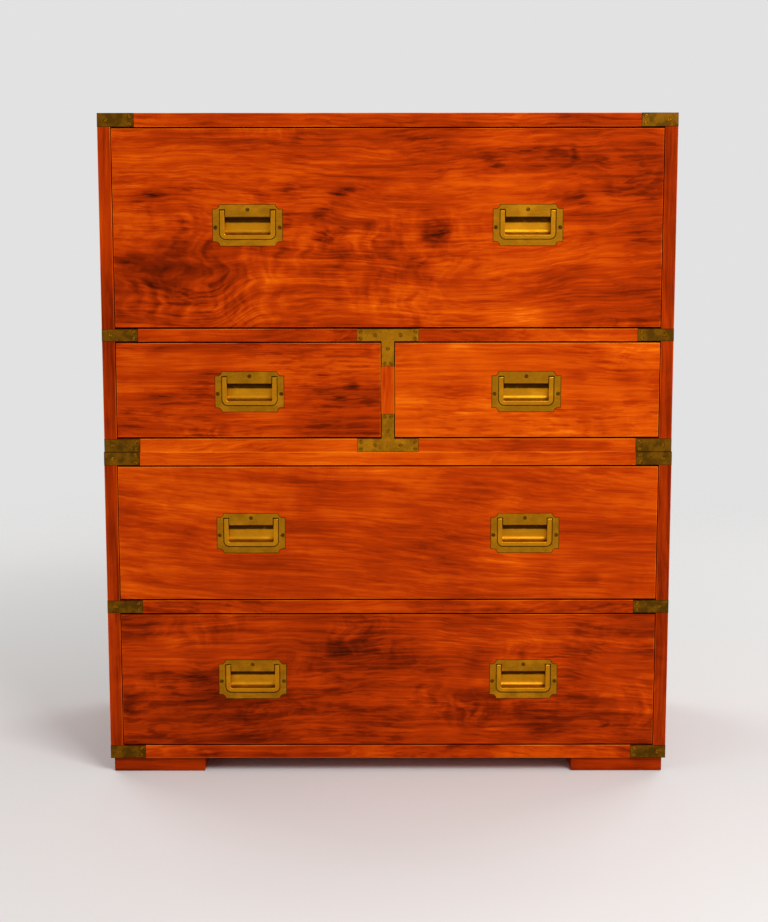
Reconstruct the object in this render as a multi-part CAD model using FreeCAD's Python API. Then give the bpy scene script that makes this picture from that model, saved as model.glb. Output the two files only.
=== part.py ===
import FreeCAD, Part
import os
from FreeCAD import Vector

# Campaign chest in two cases: the upper one lifts off the lower one.
# Millimetres, +Z up, the front faces -Y, the origin is under the middle of the chest.

# ---- driving dimensions: the cases ---------------------------------------------------
DEPTH = 457.0            # from the drawer faces to the back
UPPER_WIDTH = 914.0
LOWER_WIDTH = 916.0
SIDE_T = 20.5            # thickness of the sides
BOARD_T = 21.5           # thickness of the top and bottom boards
FOOT_H = 24.0
LOWER_RAIL_H = 21.0
UPPER_RAIL_H = 20.0
BOTTOM_OPENING = 223.0   # clear heights of the drawer openings, from the floor up
MIDDLE_OPENING = 222.5
SHORT_OPENING = 156.5
DEEP_OPENING = 317.0
DRAWER_PROUD = 1.0       # drawer faces stand this far in front of the case
RAIL_D = 60.0
DIVIDER_W = 21.0
RUNNER_W = 38.0
TENON_L = 10.0
TENON_T = 11.0
BACK_T = 10.0
BACK_LAP = 8.0           # how far the back boards lap into the rebate all round
BACK_BOARDS = 5
BACK_BOARD_GAP = 0.6
PANEL_T = 7.0            # dust panels and drawer bottoms
PANEL_LAP = 6.0
PANEL_PLAY = 0.3
STOP_SIZE = (56.0, 16.0, 5.0)
STOP_PLAY = 0.2
GUIDE_H = 16.0
FOOT_W = 150.0
FOOT_D = 115.0
FOOT_INSET_X = 5.0
FOOT_INSET_Y = 6.0
FOOT_EDGE = 2.0          # chamfer round the foot of each block

# ---- joinery ---------------------------------------------------------------------
CASE_TAILS = 9           # dovetails along each corner of a case
PIN_HALF = 5.0           # half the width of a pin at its narrow end
END_PIN = 14.0           # the same for the pins at the front and back edges
DOVETAIL_SLOPE = 1 / 6
DOWEL_R = 8.0
DOWEL_STANDS = 12.0      # how far a locating dowel stands up, and how deep it is let in
DOWEL_INSET = 60.0
SOCKET_PLAY = 0.3

# ---- drawers ----------------------------------------------------------------------
GAP_SIDE = 1.6
GAP_DIVIDER = 1.2
GAP_BELOW = 3.0
GAP_ABOVE = 2.5
RUN_PLAY = 0.3           # between a drawer side and its runner
FRONT_T = 20.0
FRONT_ARRIS = 0.8
LINING_T = 11.0
LINING_DROP = 8.0        # how far the sides stay below the top of the front
BACK_DROP = 10.0
DRAWER_L = 430.0
TAIL_L = 14.0            # lap of the drawer's dovetails into its front
TAIL_PITCH = 46.0
TAIL_SHARE = 0.62        # share of the pitch that a tail's narrow end takes
HOUSING = 4.0            # depth of the housing of the drawer's back in its sides
BACK_FROM_END = 15.0
BOTTOM_RAISED = 8.0

# ---- brass straps -------------------------------------------------------------------
STRAP_T = 2.0
STRAP_ARM = 58.0
TOP_ARM_W = 21.5
T_BAR = 99.0
T_STEM = 40.0
HEAD_R = 3.0
SHANK_R = 1.5
PILOT_R = 1.2
HEAD_H = 1.6
SCREW_L = 13.0
SLOT_W = 0.8
SLOT_H = 0.7
SINK_PLAY = 0.05
TURN_STEP = 67           # degrees from one screw slot to the next

# ---- pulls ----------------------------------------------------------------------
PULL_X = 222.0
PLATE_W = 111.0
PLATE_H = 65.5
PLATE_T = 3.0
NOTCH_R = 7.0
NOTCH_SHOULDER = 4.0
CUP_HALF_W = 36.0
CUP_TOP = 12.7           # heights are from the middle of the plate
CUP_BOTTOM = -15.0
CUP_DEPTH = 13.5
CUP_WALL = 1.5
CUP_ROUND = 9.0
BAIL_HALF_W = 44.0
BAIL_TOP = 24.4
BAIL_BOTTOM = -21.8
BAIL_LEG = 7.6
BAIL_BAR = 6.8
BAIL_T = 5.4
BAIL_CORNER = 9.0
BAIL_INNER = 2.0
BAIL_SOFT = 1.1
BAIL_PLAY = 0.4
CHANNEL_WALL = 2.4
CHANNEL_INNER = 30.0     # the inner face of the cheeks that hold the hinge pins
PIN_R = 1.5
PIN_PLAY = 0.05
POCKET_PLAY = 0.25
PLATE_SCREWS = ((0.0, 24.6), (-51.0, -3.5), (51.0, -3.5))

# ---- places that follow from them ----------------------------------------------------
FACE_Y = -DEPTH / 2
CASE_Y = FACE_Y + DRAWER_PROUD
BACK_Y = DEPTH / 2
BACK_BOARD_Y = BACK_Y - BACK_T
RAIL_BACK = CASE_Y + RAIL_D
LINING_Y = FACE_Y + FRONT_T
DRAWER_END = FACE_Y + DRAWER_L


def box(x, y, z):
    """A block between the two limits given for each axis, in either order."""
    low = [min(pair) for pair in (x, y, z)]
    size = [abs(pair[1] - pair[0]) for pair in (x, y, z)]
    return Part.makeBox(size[0], size[1], size[2], Vector(*low))


def rod(centre, direction, radius, length):
    return Part.makeCylinder(radius, length, Vector(*centre), Vector(*direction))


def side_prism(outline, x0, x1):
    """An outline of (y, z) points, pushed along X from x0 to x1."""
    points = [Vector(x0, y, z) for y, z in outline]
    face = Part.Face(Part.makePolygon(points + points[:1]))
    return face.extrude(Vector(x1 - x0, 0, 0))


def joined(shapes):
    whole = shapes[0].fuse(list(shapes[1:])) if len(shapes) > 1 else shapes[0]
    return whole.removeSplitter()


def less(shape, tools):
    """The shape with every tool that reaches it cut away."""
    near = [tool for tool in tools if shape.BoundBox.intersect(tool.BoundBox)]
    return shape.cut(near) if near else shape


def save(name, *solids):
    """One file for each node; a node of like pieces holds a group of separate solids."""
    parts = [solid for shape in solids for solid in shape.Solids]
    whole = parts[0] if len(parts) == 1 else Part.makeCompound(parts)
    whole.exportStep("parts/" + name + ".step")


# ---- screws ----------------------------------------------------------------------
class Screws:
    """Countersunk slotted screws, the holes they need in brass and their pilot holes."""

    def __init__(self):
        self.solids = []
        self.sinks = []
        self.pilots = []

    def add(self, place, outward):
        turn = FreeCAD.Rotation(Vector(0, 0, 1), TURN_STEP * len(self.solids))
        pose = FreeCAD.Placement(Vector(*place), FreeCAD.Rotation(Vector(0, 0, 1), Vector(*outward)) * turn)
        tip = SHANK_R * 2
        head = Part.makeCone(SHANK_R, HEAD_R, HEAD_H, Vector(0, 0, -HEAD_H))
        shank = Part.makeCylinder(SHANK_R, SCREW_L - tip, Vector(0, 0, tip - SCREW_L))
        point = Part.makeCone(SHANK_R / 3, SHANK_R, tip, Vector(0, 0, -SCREW_L))
        slot = box((-HEAD_R, HEAD_R), (-SLOT_W / 2, SLOT_W / 2), (-SLOT_H, SLOT_H))
        sink = Part.makeCone(SHANK_R + SINK_PLAY, HEAD_R + SINK_PLAY, HEAD_H, Vector(0, 0, -HEAD_H))
        through = Part.makeCylinder(SHANK_R + SINK_PLAY, PLATE_T, Vector(0, 0, -PLATE_T))
        pilot = Part.makeCylinder(PILOT_R, SCREW_L, Vector(0, 0, -SCREW_L))
        pairs = ((self.solids, joined([head, shank, point]).cut(slot)),
                 (self.sinks, joined([sink, through])), (self.pilots, pilot))
        for kept, shape in pairs:
            shape.Placement = pose
            kept.append(shape)


# ---- a case -----------------------------------------------------------------------
class Case:
    """Two sides, a top and a bottom board dovetailed into them, a rail and a back."""

    def __init__(self, name, width, z0, lower_opening, rail_h, upper_opening):
        self.name = name
        self.half = width / 2
        self.inner = self.half - SIDE_T
        self.z0 = z0
        self.floor = z0 + BOARD_T
        self.rail = (self.floor + lower_opening, self.floor + lower_opening + rail_h)
        self.ceiling = self.rail[1] + upper_opening
        self.z1 = self.ceiling + BOARD_T
        self.screws = Screws()
        self.straps = []

    def pins(self, outer, inner):
        """The pins of one board: narrow at its outer face, in both ends of the board."""
        first = CASE_Y + END_PIN
        step = (BACK_Y - END_PIN - first) / CASE_TAILS
        row = [(first + step * n, PIN_HALF) for n in range(1, CASE_TAILS)]
        row += [(CASE_Y, END_PIN), (BACK_Y, END_PIN)]
        flare = abs(outer - inner) * DOVETAIL_SLOPE
        made = []
        for y, half in row:
            outline = ((y - half, outer), (y + half, outer),
                       (y + half + flare, inner), (y - half - flare, inner))
            for side in (-1, 1):
                made.append(side_prism(outline, side * self.inner, side * self.half))
        return made

    def rebate(self):
        reach = self.inner + BACK_LAP
        return box((-reach, reach), (BACK_BOARD_Y, BACK_Y), (self.floor - BACK_LAP, self.ceiling + BACK_LAP))

    def tenons(self):
        """The rail's stub tenons, which the sides are mortised for."""
        middle = sum(self.rail) / 2
        return [box((side * self.inner, side * (self.inner + TENON_L)),
                    (CASE_Y + TENON_L, RAIL_BACK - TENON_L),
                    (middle - TENON_T / 2, middle + TENON_T / 2)) for side in (-1, 1)]

    def board(self, outer, inner):
        ends = box((-self.half, self.half), (CASE_Y, BACK_Y), (outer, inner))
        slab = box((-self.inner, self.inner), (CASE_Y, BACK_Y), (outer, inner))
        return joined([slab] + self.pins(outer, inner)).common(ends)

    def side(self, side):
        blank = box((side * self.inner, side * self.half), (CASE_Y, BACK_Y), (self.z0, self.z1))
        cuts = self.pins(self.z0, self.floor) + self.pins(self.z1, self.ceiling) + self.tenons()
        return less(blank, cuts)

    def panel_groove(self):
        """The groove for the dust panel, round the back of the rail and along the runners."""
        middle = sum(self.rail) / 2
        reach = self.inner - RUNNER_W + PANEL_LAP
        return box((-reach, reach), (RAIL_BACK - PANEL_LAP, BACK_BOARD_Y),
                   (middle - PANEL_T / 2, middle + PANEL_T / 2))

    def rail_board(self):
        bar = box((-self.inner, self.inner), (CASE_Y, RAIL_BACK), self.rail)
        return joined([bar] + self.tenons()).cut(self.panel_groove())

    def runners(self):
        return [box((side * (self.inner - RUNNER_W), side * self.inner), (RAIL_BACK, BACK_BOARD_Y),
                    self.rail).cut(self.panel_groove()) for side in (-1, 1)]

    def dust_panel(self):
        groove = self.panel_groove().BoundBox
        return box((groove.XMin + PANEL_PLAY, groove.XMax - PANEL_PLAY),
                   (groove.YMin + PANEL_PLAY, groove.YMax - PANEL_PLAY), (groove.ZMin, groove.ZMax))

    def back_boards(self):
        whole = self.rebate().BoundBox
        wide = (whole.XLength + BACK_BOARD_GAP) / BACK_BOARDS
        starts = [whole.XMin + wide * n for n in range(BACK_BOARDS)]
        return [box((x, x + wide - BACK_BOARD_GAP), (whole.YMin, whole.YMax), (whole.ZMin, whole.ZMax))
                for x in starts]

    def corner_strap(self, side, end, z0, z1, over_top=False):
        """A strap let in round one upright edge. end is -1 at the front and 1 at the back."""
        edge = CASE_Y if end < 0 else BACK_Y
        corner = side * self.half
        middle = (z0 + z1) / 2
        quarter = (z1 - z0) * 0.27
        front = box((corner - side * STRAP_ARM, corner), (edge, edge - end * STRAP_T), (z0, z1))
        flank = box((corner - side * STRAP_T, corner), (edge, edge - end * STRAP_ARM), (z0, z1))
        arms = [front, flank]
        inner = STRAP_ARM - 7
        for up in (-quarter, quarter):
            self.screws.add((corner - side * inner, edge, middle + up), (0, end, 0))
            self.screws.add((corner, edge - end * inner, middle + up), (side, 0, 0))
        self.screws.add((corner - side * 14, edge, middle), (0, end, 0))
        self.screws.add((corner, edge - end * 24, middle), (side, 0, 0))
        if over_top:
            level = (z1 - STRAP_T, z1)
            arms.append(box((corner - side * STRAP_ARM, corner), (edge, edge - end * TOP_ARM_W), level))
            arms.append(box((corner - side * TOP_ARM_W, corner), (edge, edge - end * STRAP_ARM), level))
            for along, across in ((44, TOP_ARM_W / 2), (8, 8), (TOP_ARM_W / 2, 44)):
                self.screws.add((corner - side * along, edge - end * across, z1), (0, 0, 1))
        self.straps.append(joined(arms))

    def t_strap(self, bar, stem):
        """A crossbar on a rail or board, and a stem along the divider from stem[0] to stem[1]."""
        along = box((-T_BAR / 2, T_BAR / 2), (CASE_Y, CASE_Y + STRAP_T), bar)
        down = box((-DIVIDER_W / 2, DIVIDER_W / 2), (CASE_Y, CASE_Y + STRAP_T), stem)
        way = 1 if stem[1] > stem[0] else -1
        middle = sum(bar) / 2
        places = [(side * (T_BAR / 2 - 5.7), middle + up) for side in (-1, 1) for up in (-5.7, 5.7)]
        places += [(side * 20.5, middle) for side in (-1, 1)]
        places += [(0, stem[0] + way * 12)] + [(side * 5, stem[1] - way * 4.4) for side in (-1, 1)]
        for x, z in places:
            self.screws.add((x, CASE_Y, z), (0, -1, 0))
        self.straps.append(joined([along, down]))

    def save(self, extra_cuts):
        """Writes the case. extra_cuts maps a piece's name to more tools that are cut from it."""
        wood = {"top_board": [self.board(self.z1, self.ceiling)],
                "bottom_board": [self.board(self.z0, self.floor)],
                "side_left": [self.side(-1)],
                "side_right": [self.side(1)],
                "rail": [self.rail_board()]}
        for name, solids in wood.items():
            cuts = [self.rebate()] if name != "rail" else []
            cuts += self.straps + self.screws.pilots + extra_cuts.get(name, [])
            save(self.name + "_" + name, *[less(solid, cuts) for solid in solids])
        backs = [less(board, self.straps + self.screws.pilots) for board in self.back_boards()]
        save(self.name + "_back_boards", *backs)
        save(self.name + "_dust_panel", self.dust_panel())
        save(self.name + "_brackets", *[less(strap, self.screws.sinks) for strap in self.straps])
        save(self.name + "_bracket_screws", *self.screws.solids)


# ---- a pull ------------------------------------------------------------------------
class Pull:
    """A plate let in flush, with a cup for the fingers and a bail that lies in a channel."""

    def __init__(self, x, z):
        self.x = x
        self.z = z
        self.pivot_y = FACE_Y + BAIL_T / 2 + 0.2
        self.pivot_z = z + BAIL_TOP - BAIL_T / 2
        self.screws = Screws()
        for dx, dz in PLATE_SCREWS:
            self.screws.add((x + dx, FACE_Y, z + dz), (0, -1, 0))

    def block(self, x, depth, z, grow=0.0):
        """A block behind the face, with x and z from the middle of the plate."""
        return box((self.x + x[0] - grow, self.x + x[1] + grow), (FACE_Y, FACE_Y + depth + grow),
                   (self.z + z[0] - grow, self.z + z[1] + grow))

    def outline(self, grow=0.0):
        plate = self.block((-PLATE_W / 2, PLATE_W / 2), PLATE_T - grow, (-PLATE_H / 2, PLATE_H / 2), grow)
        cuts = []
        for side in (-1, 1):
            for up in (-1, 1):
                x = self.x + side * (PLATE_W / 2 - NOTCH_SHOULDER)
                z = self.z + up * PLATE_H / 2
                corner = self.x + side * (PLATE_W / 2 + grow + 1)
                cuts.append(rod((x, FACE_Y, z), (0, 1, 0), NOTCH_R - grow, PLATE_T))
                cuts.append(box((x, corner), (FACE_Y, FACE_Y + PLATE_T), (z - up * (NOTCH_R - grow), z + up)))
        return plate.cut(cuts)

    def casting(self, grow=0.0):
        """What stands behind the plate: the cup and the channel of the bail."""
        depth = BAIL_T + 0.2 + BAIL_PLAY + CHANNEL_WALL
        wide = BAIL_HALF_W + BAIL_PLAY + CHANNEL_WALL
        top = BAIL_TOP + BAIL_PLAY + CHANNEL_WALL
        bottom = BAIL_BOTTOM - BAIL_PLAY - CHANNEL_WALL
        cup_wide = CUP_HALF_W + CUP_WALL
        return [self.block((-wide, -CHANNEL_INNER), depth, (bottom, top), grow),
                self.block((CHANNEL_INNER, wide), depth, (bottom, top), grow),
                self.block((-wide, wide), depth, (bottom, CUP_BOTTOM), grow),
                self.block((-cup_wide, cup_wide), CUP_DEPTH + CUP_WALL,
                           (CUP_BOTTOM - CUP_WALL, CUP_TOP + CUP_WALL), grow)]

    def pocket(self):
        """What is cut out of the drawer front for the plate and the casting."""
        return [self.outline(POCKET_PLAY)] + self.casting(POCKET_PLAY)

    def cup(self):
        room = self.block((-CUP_HALF_W, CUP_HALF_W), CUP_DEPTH, (CUP_BOTTOM, CUP_TOP))
        back = [edge for edge in room.Edges
                if edge.BoundBox.YMin > FACE_Y + CUP_DEPTH - 1 and edge.BoundBox.XLength > CUP_HALF_W]
        return room.makeFillet(CUP_ROUND, back)

    def u_shape(self, grow=0.0):
        """The front view of the bail: two legs and a bar with rounded lower corners."""
        half = BAIL_HALF_W + grow
        bottom = BAIL_BOTTOM - grow
        outer = self.block((-half, half), BAIL_T + 0.2 + grow, (bottom, BAIL_TOP + grow))
        low = [edge for edge in outer.Edges if edge.BoundBox.ZMax < self.z + bottom + 1
               and edge.BoundBox.YLength > 1]
        outer = outer.makeFillet(BAIL_CORNER + grow, low)
        inner_half = BAIL_HALF_W - BAIL_LEG
        inner = self.block((-inner_half, inner_half), BAIL_T + 1, (BAIL_BOTTOM + BAIL_BAR, BAIL_TOP + 2))
        low = [edge for edge in inner.Edges if edge.BoundBox.ZMax < self.z + BAIL_BOTTOM + BAIL_BAR + 1
               and edge.BoundBox.YLength > 1]
        inner = inner.makeFillet(BAIL_INNER, low)
        return outer, inner

    def plate(self):
        outer, inner = self.u_shape(BAIL_PLAY)
        above_cup = self.block((-CUP_HALF_W, CUP_HALF_W), BAIL_T + 1, (CUP_TOP, BAIL_TOP + 2))
        channel = outer.cut(above_cup)
        whole = joined([self.outline()] + self.casting())
        cuts = [channel, self.cup()] + self.screws.sinks + self.pin_solids()
        return whole.cut(cuts)

    def bail(self):
        outer, inner = self.u_shape()
        depth = FACE_Y + 0.2
        reach = self.x - BAIL_HALF_W - 1
        stadium = joined([
            box((reach, reach + 2 * BAIL_HALF_W + 2), (depth, depth + BAIL_T),
                (self.z + BAIL_BOTTOM - 1, self.pivot_z)),
            rod((reach, self.pivot_y, self.pivot_z), (1, 0, 0), BAIL_T / 2, 2 * BAIL_HALF_W + 2)])
        bent = outer.cut(inner).common(stadium)
        soft = [edge for edge in bent.Edges if edge.BoundBox.YLength < 0.01
                and edge.BoundBox.ZMin < self.pivot_z - 1]
        bent = bent.makeFillet(BAIL_SOFT, soft)
        hole = rod((reach, self.pivot_y, self.pivot_z), (1, 0, 0), PIN_R + PIN_PLAY, 2 * BAIL_HALF_W + 2)
        return bent.cut(hole)

    def pin_solids(self):
        length = BAIL_HALF_W + BAIL_PLAY + CHANNEL_WALL - CHANNEL_INNER - 2
        return [rod((self.x + side * (CHANNEL_INNER + 2), self.pivot_y, self.pivot_z), (side, 0, 0),
                    PIN_R, length) for side in (-1, 1)]


# ---- a drawer ----------------------------------------------------------------------
class Drawer:
    """A front with its pulls, sides dovetailed into it, a housed back and a bottom in grooves."""

    def __init__(self, name, x, opening, pull_x, pull_lift):
        self.name = name
        self.x = x
        self.z = (opening[0] + GAP_BELOW, opening[1] - GAP_ABOVE)
        self.lining_z = (opening[0] + RUN_PLAY, self.z[1] - LINING_DROP)
        self.bottom_z = self.lining_z[0] + BOTTOM_RAISED
        self.inner = (x[0] + LINING_T, x[1] - LINING_T)
        centre = sum(self.z) / 2 + pull_lift
        self.pulls = [Pull(at, centre) for at in pull_x]

    def tails(self, outer, inner):
        """The dovetails at the front end of one side, wider towards the face."""
        low = self.z[0] + TAIL_L / 2
        high = self.lining_z[1]
        count = max(2, round((high - low) / TAIL_PITCH))
        pitch = (high - low) / count
        narrow = pitch * TAIL_SHARE / 2
        wide = narrow + TAIL_L * DOVETAIL_SLOPE
        made = []
        for n in range(count):
            z = low + pitch * (n + 0.5)
            outline = ((LINING_Y, z - narrow), (LINING_Y, z + narrow),
                       (LINING_Y - TAIL_L, z + wide), (LINING_Y - TAIL_L, z - wide))
            made.append(side_prism(outline, outer, inner))
        return made

    def groove(self, play=0.0):
        """The room of the bottom panel, with its edges in the front and the sides."""
        return box((self.inner[0] - PANEL_LAP + play, self.inner[1] + PANEL_LAP - play),
                   (LINING_Y - PANEL_LAP + play, DRAWER_END - BACK_FROM_END),
                   (self.bottom_z, self.bottom_z + PANEL_T))

    def front(self):
        board = box(self.x, (FACE_Y, LINING_Y), self.z)
        face = [edge for edge in board.Edges if edge.BoundBox.YMax < FACE_Y + 0.1]
        board = board.makeChamfer(FRONT_ARRIS, face)
        cuts = [self.groove()]
        for outer, inner in zip(self.x, self.inner):
            cuts += self.tails(outer, inner)
        for pull in self.pulls:
            cuts += pull.pocket() + pull.screws.pilots
        return less(board, cuts)

    def back_room(self):
        return box((self.inner[0] - HOUSING, self.inner[1] + HOUSING),
                   (DRAWER_END - BACK_FROM_END - LINING_T, DRAWER_END - BACK_FROM_END),
                   (self.bottom_z + PANEL_T, self.lining_z[1] - BACK_DROP))

    def linings(self):
        """The two sides, grooved for the bottom and housed for the back, and the back."""
        back = self.back_room()
        room = back.BoundBox
        panel = self.groove().BoundBox
        slot = box((room.XMin, room.XMax), (room.YMin, room.YMax), (room.ZMin, self.lining_z[1] + 1))
        groove = box((panel.XMin, panel.XMax), (LINING_Y - TAIL_L, DRAWER_END + 1), (panel.ZMin, panel.ZMax))
        made = [back]
        for outer, inner in zip(self.x, self.inner):
            board = box((outer, inner), (LINING_Y, DRAWER_END), self.lining_z)
            made.append(joined([board] + self.tails(outer, inner)).cut([slot, groove]))
        return made

    def save(self):
        save(self.name + "_front", self.front())
        save(self.name + "_sides_and_back", *self.linings())
        save(self.name + "_bottom", self.groove(PANEL_PLAY))
        save(self.name + "_pulls", *[pull.plate() for pull in self.pulls])
        fixings = []
        for pull in self.pulls:
            fixings += pull.screws.solids + pull.pin_solids()
        save(self.name + "_pull_fixings", *fixings)
        hands = ("_left", "_right") if len(self.pulls) > 1 else ("",)
        for pull, hand in zip(self.pulls, hands):
            save(self.name + "_bail" + hand, pull.bail())


# ---- the chest ---------------------------------------------------------------------
def stops(openings):
    """Blocks behind the drawer fronts: the x of each and the floor that it is glued to."""
    y = LINING_Y + STOP_PLAY
    return [box((x - STOP_SIZE[0] / 2, x + STOP_SIZE[0] / 2), (y, y + STOP_SIZE[1]), (z, z + STOP_SIZE[2]))
            for x, z in openings]


def feet(case):
    made = []
    for side in (-1, 1):
        for edge, inward in ((CASE_Y + FOOT_INSET_Y, 1), (BACK_Y - FOOT_INSET_Y, -1)):
            outer = side * (case.half - FOOT_INSET_X)
            foot = box((outer - side * FOOT_W, outer), (edge, edge + inward * FOOT_D), (0, FOOT_H))
            ground = [line for line in foot.Edges if line.BoundBox.ZMax < 0.1]
            made.append(foot.makeChamfer(FOOT_EDGE, ground))
    return made


def dowels(level, half):
    """Round-topped dowels that stand up out of the lower case, and their room above and below."""
    pegs, holes, sockets = [], [], []
    for side in (-1, 1):
        for y in (CASE_Y + DOWEL_INSET, BACK_Y - DOWEL_INSET):
            x = side * (half - DOWEL_INSET)
            foot = (x, y, level - DOWEL_STANDS)
            peg = rod(foot, (0, 0, 1), DOWEL_R, 2 * DOWEL_STANDS)
            rim = [edge for edge in peg.Edges if edge.BoundBox.ZMin > level + DOWEL_STANDS - 0.1]
            pegs.append(peg.makeFillet(DOWEL_R / 3, rim))
            holes.append(rod(foot, (0, 0, 1), DOWEL_R, DOWEL_STANDS + 1))
            sockets.append(rod((x, y, level - 1), (0, 0, 1), DOWEL_R + SOCKET_PLAY, DOWEL_STANDS + 2))
    return pegs, holes, sockets


def divider(upper):
    """The post between the short drawers, tenoned into the rail above and the board below."""
    middle = (CASE_Y + TENON_L, RAIL_BACK - TENON_L)
    across = (-TENON_T / 2, TENON_T / 2)
    tenons = [box(across, middle, (upper.rail[0], upper.rail[0] + TENON_L / 2)),
              box(across, middle, (upper.floor, upper.floor - TENON_L))]
    post = box((-DIVIDER_W / 2, DIVIDER_W / 2), (CASE_Y, RAIL_BACK), (upper.floor, upper.rail[0]))
    return joined([post] + tenons), tenons


def main():
    os.makedirs("parts", exist_ok=True)
    lower = Case("lower", LOWER_WIDTH, FOOT_H, BOTTOM_OPENING, LOWER_RAIL_H, MIDDLE_OPENING)
    upper = Case("upper", UPPER_WIDTH, lower.z1, SHORT_OPENING, UPPER_RAIL_H, DEEP_OPENING)

    for side in (-1, 1):
        for case in (lower, upper):
            case.corner_strap(side, -1, *case.rail)
            for end in (-1, 1):
                case.corner_strap(side, end, case.z0, case.floor)
                case.corner_strap(side, end, case.ceiling, case.z1, over_top=case is upper)
    upper.t_strap(upper.rail, (upper.rail[0], upper.rail[0] - T_STEM))
    upper.t_strap((upper.z0, upper.floor), (upper.floor, upper.floor + T_STEM))

    post, mortises = divider(upper)
    pegs, peg_holes, sockets = dowels(lower.z1, lower.half)
    upper.save({"bottom_board": sockets + mortises, "rail": mortises})
    lower.save({"top_board": peg_holes})
    save("upper_divider", less(post, upper.straps + upper.screws.pilots))
    save("locating_dowels", *pegs)
    save("feet", *feet(lower))

    guide = box((-DIVIDER_W / 2, DIVIDER_W / 2), (RAIL_BACK, BACK_BOARD_Y),
                (upper.floor, upper.floor + GUIDE_H))
    save("short_drawer_guide", guide)
    save("upper_runners", *upper.runners())
    save("lower_runners", *lower.runners())

    short = (DIVIDER_W / 2 + GAP_DIVIDER, upper.inner - GAP_SIDE)
    long_upper = (GAP_SIDE - upper.inner, upper.inner - GAP_SIDE)
    long_lower = (GAP_SIDE - lower.inner, lower.inner - GAP_SIDE)
    short_room = (upper.floor, upper.rail[0])
    drawers = (
        Drawer("deep_drawer", long_upper, (upper.rail[1], upper.ceiling), (-PULL_X, PULL_X), 5.0),
        Drawer("short_drawer_left", (-short[1], -short[0]), short_room, (-PULL_X,), -2.5),
        Drawer("short_drawer_right", short, short_room, (PULL_X,), -2.5),
        Drawer("middle_drawer", long_lower, (lower.rail[1], lower.ceiling), (-PULL_X, PULL_X), 0.0),
        Drawer("bottom_drawer", long_lower, (lower.floor, lower.rail[0]), (-PULL_X, PULL_X), 0.6))
    for drawer in drawers:
        drawer.save()

    pairs = [(side * PULL_X, side) for side in (-1, 1)]
    save("lower_drawer_stops", *stops([(x, z) for x, _ in pairs for z in (lower.floor, lower.rail[1])]))
    beside = [(x + shift * PULL_X / 2, upper.floor) for x, _ in pairs for shift in (-0.6, 0.6)]
    save("upper_drawer_stops", *stops([(x, upper.rail[1]) for x, _ in pairs] + beside))


main()
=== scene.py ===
import math
from typing import NamedTuple

import bmesh
import bpy
from bpy.props import FloatProperty, FloatVectorProperty, PointerProperty
from mathutils import Euler, Matrix, Vector
from mathutils.geometry import intersect_point_line


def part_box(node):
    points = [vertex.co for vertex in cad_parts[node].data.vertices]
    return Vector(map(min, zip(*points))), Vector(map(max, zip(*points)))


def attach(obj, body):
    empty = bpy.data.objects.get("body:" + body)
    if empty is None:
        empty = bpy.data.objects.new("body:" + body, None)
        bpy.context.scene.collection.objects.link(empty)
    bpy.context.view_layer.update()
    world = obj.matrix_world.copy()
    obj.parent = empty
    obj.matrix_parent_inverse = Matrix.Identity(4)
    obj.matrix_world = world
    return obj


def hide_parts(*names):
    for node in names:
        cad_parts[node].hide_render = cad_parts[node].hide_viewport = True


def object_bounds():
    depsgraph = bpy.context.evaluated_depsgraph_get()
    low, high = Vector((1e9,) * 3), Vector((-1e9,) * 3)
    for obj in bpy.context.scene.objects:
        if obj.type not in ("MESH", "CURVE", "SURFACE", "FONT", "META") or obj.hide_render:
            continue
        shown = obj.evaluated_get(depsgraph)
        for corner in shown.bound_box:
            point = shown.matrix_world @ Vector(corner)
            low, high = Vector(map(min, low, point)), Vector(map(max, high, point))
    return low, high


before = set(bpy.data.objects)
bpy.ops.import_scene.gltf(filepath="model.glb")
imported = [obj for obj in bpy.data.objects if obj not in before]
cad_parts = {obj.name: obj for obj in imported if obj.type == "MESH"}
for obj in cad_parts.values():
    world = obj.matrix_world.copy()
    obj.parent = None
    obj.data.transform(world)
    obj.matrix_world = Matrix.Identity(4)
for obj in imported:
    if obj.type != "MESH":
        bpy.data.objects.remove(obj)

bl_info = {
    "name": "Campaign chest",
    "version": (1, 0, 0),
    "blender": (4, 5, 0),
    "location": "View3D > Sidebar > Campaign chest",
    "description": "A two-part campaign chest in polished hardwood with inlaid brass",
    "category": "Object",
}

MM = 0.001
X, Y, Z = range(3)
TOUCH = 0.01 * MM        # two places nearer than this are the same
OVER = 1.0 * MM          # how far a cutting block stands clear of what it cuts
FORWARD = Vector((0, -1, 0))
LEFTWARD = Vector((-1, 0, 0))
UPWARD = Vector((0, 0, 1))

# ---- places that the frame gives ---------------------------------------------------------
CAD_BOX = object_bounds()
FACE_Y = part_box("deep_drawer_front")[0].y
CASE_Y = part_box("upper_rail")[0].y
BACK_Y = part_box("upper_side_left")[1].y
RAIL_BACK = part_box("upper_rail")[1].y
SIDE_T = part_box("upper_side_left")[1].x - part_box("upper_side_left")[0].x
BOARD_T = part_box("upper_top_board")[1].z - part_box("upper_top_board")[0].z
LINING_T = 11.0 * MM
BACK_FROM_END = 15.0 * MM        # how far a drawer's sides reach past its back
DRAWER_BACK_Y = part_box("deep_drawer_sides_and_back")[1].y - BACK_FROM_END - LINING_T - TOUCH

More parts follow.
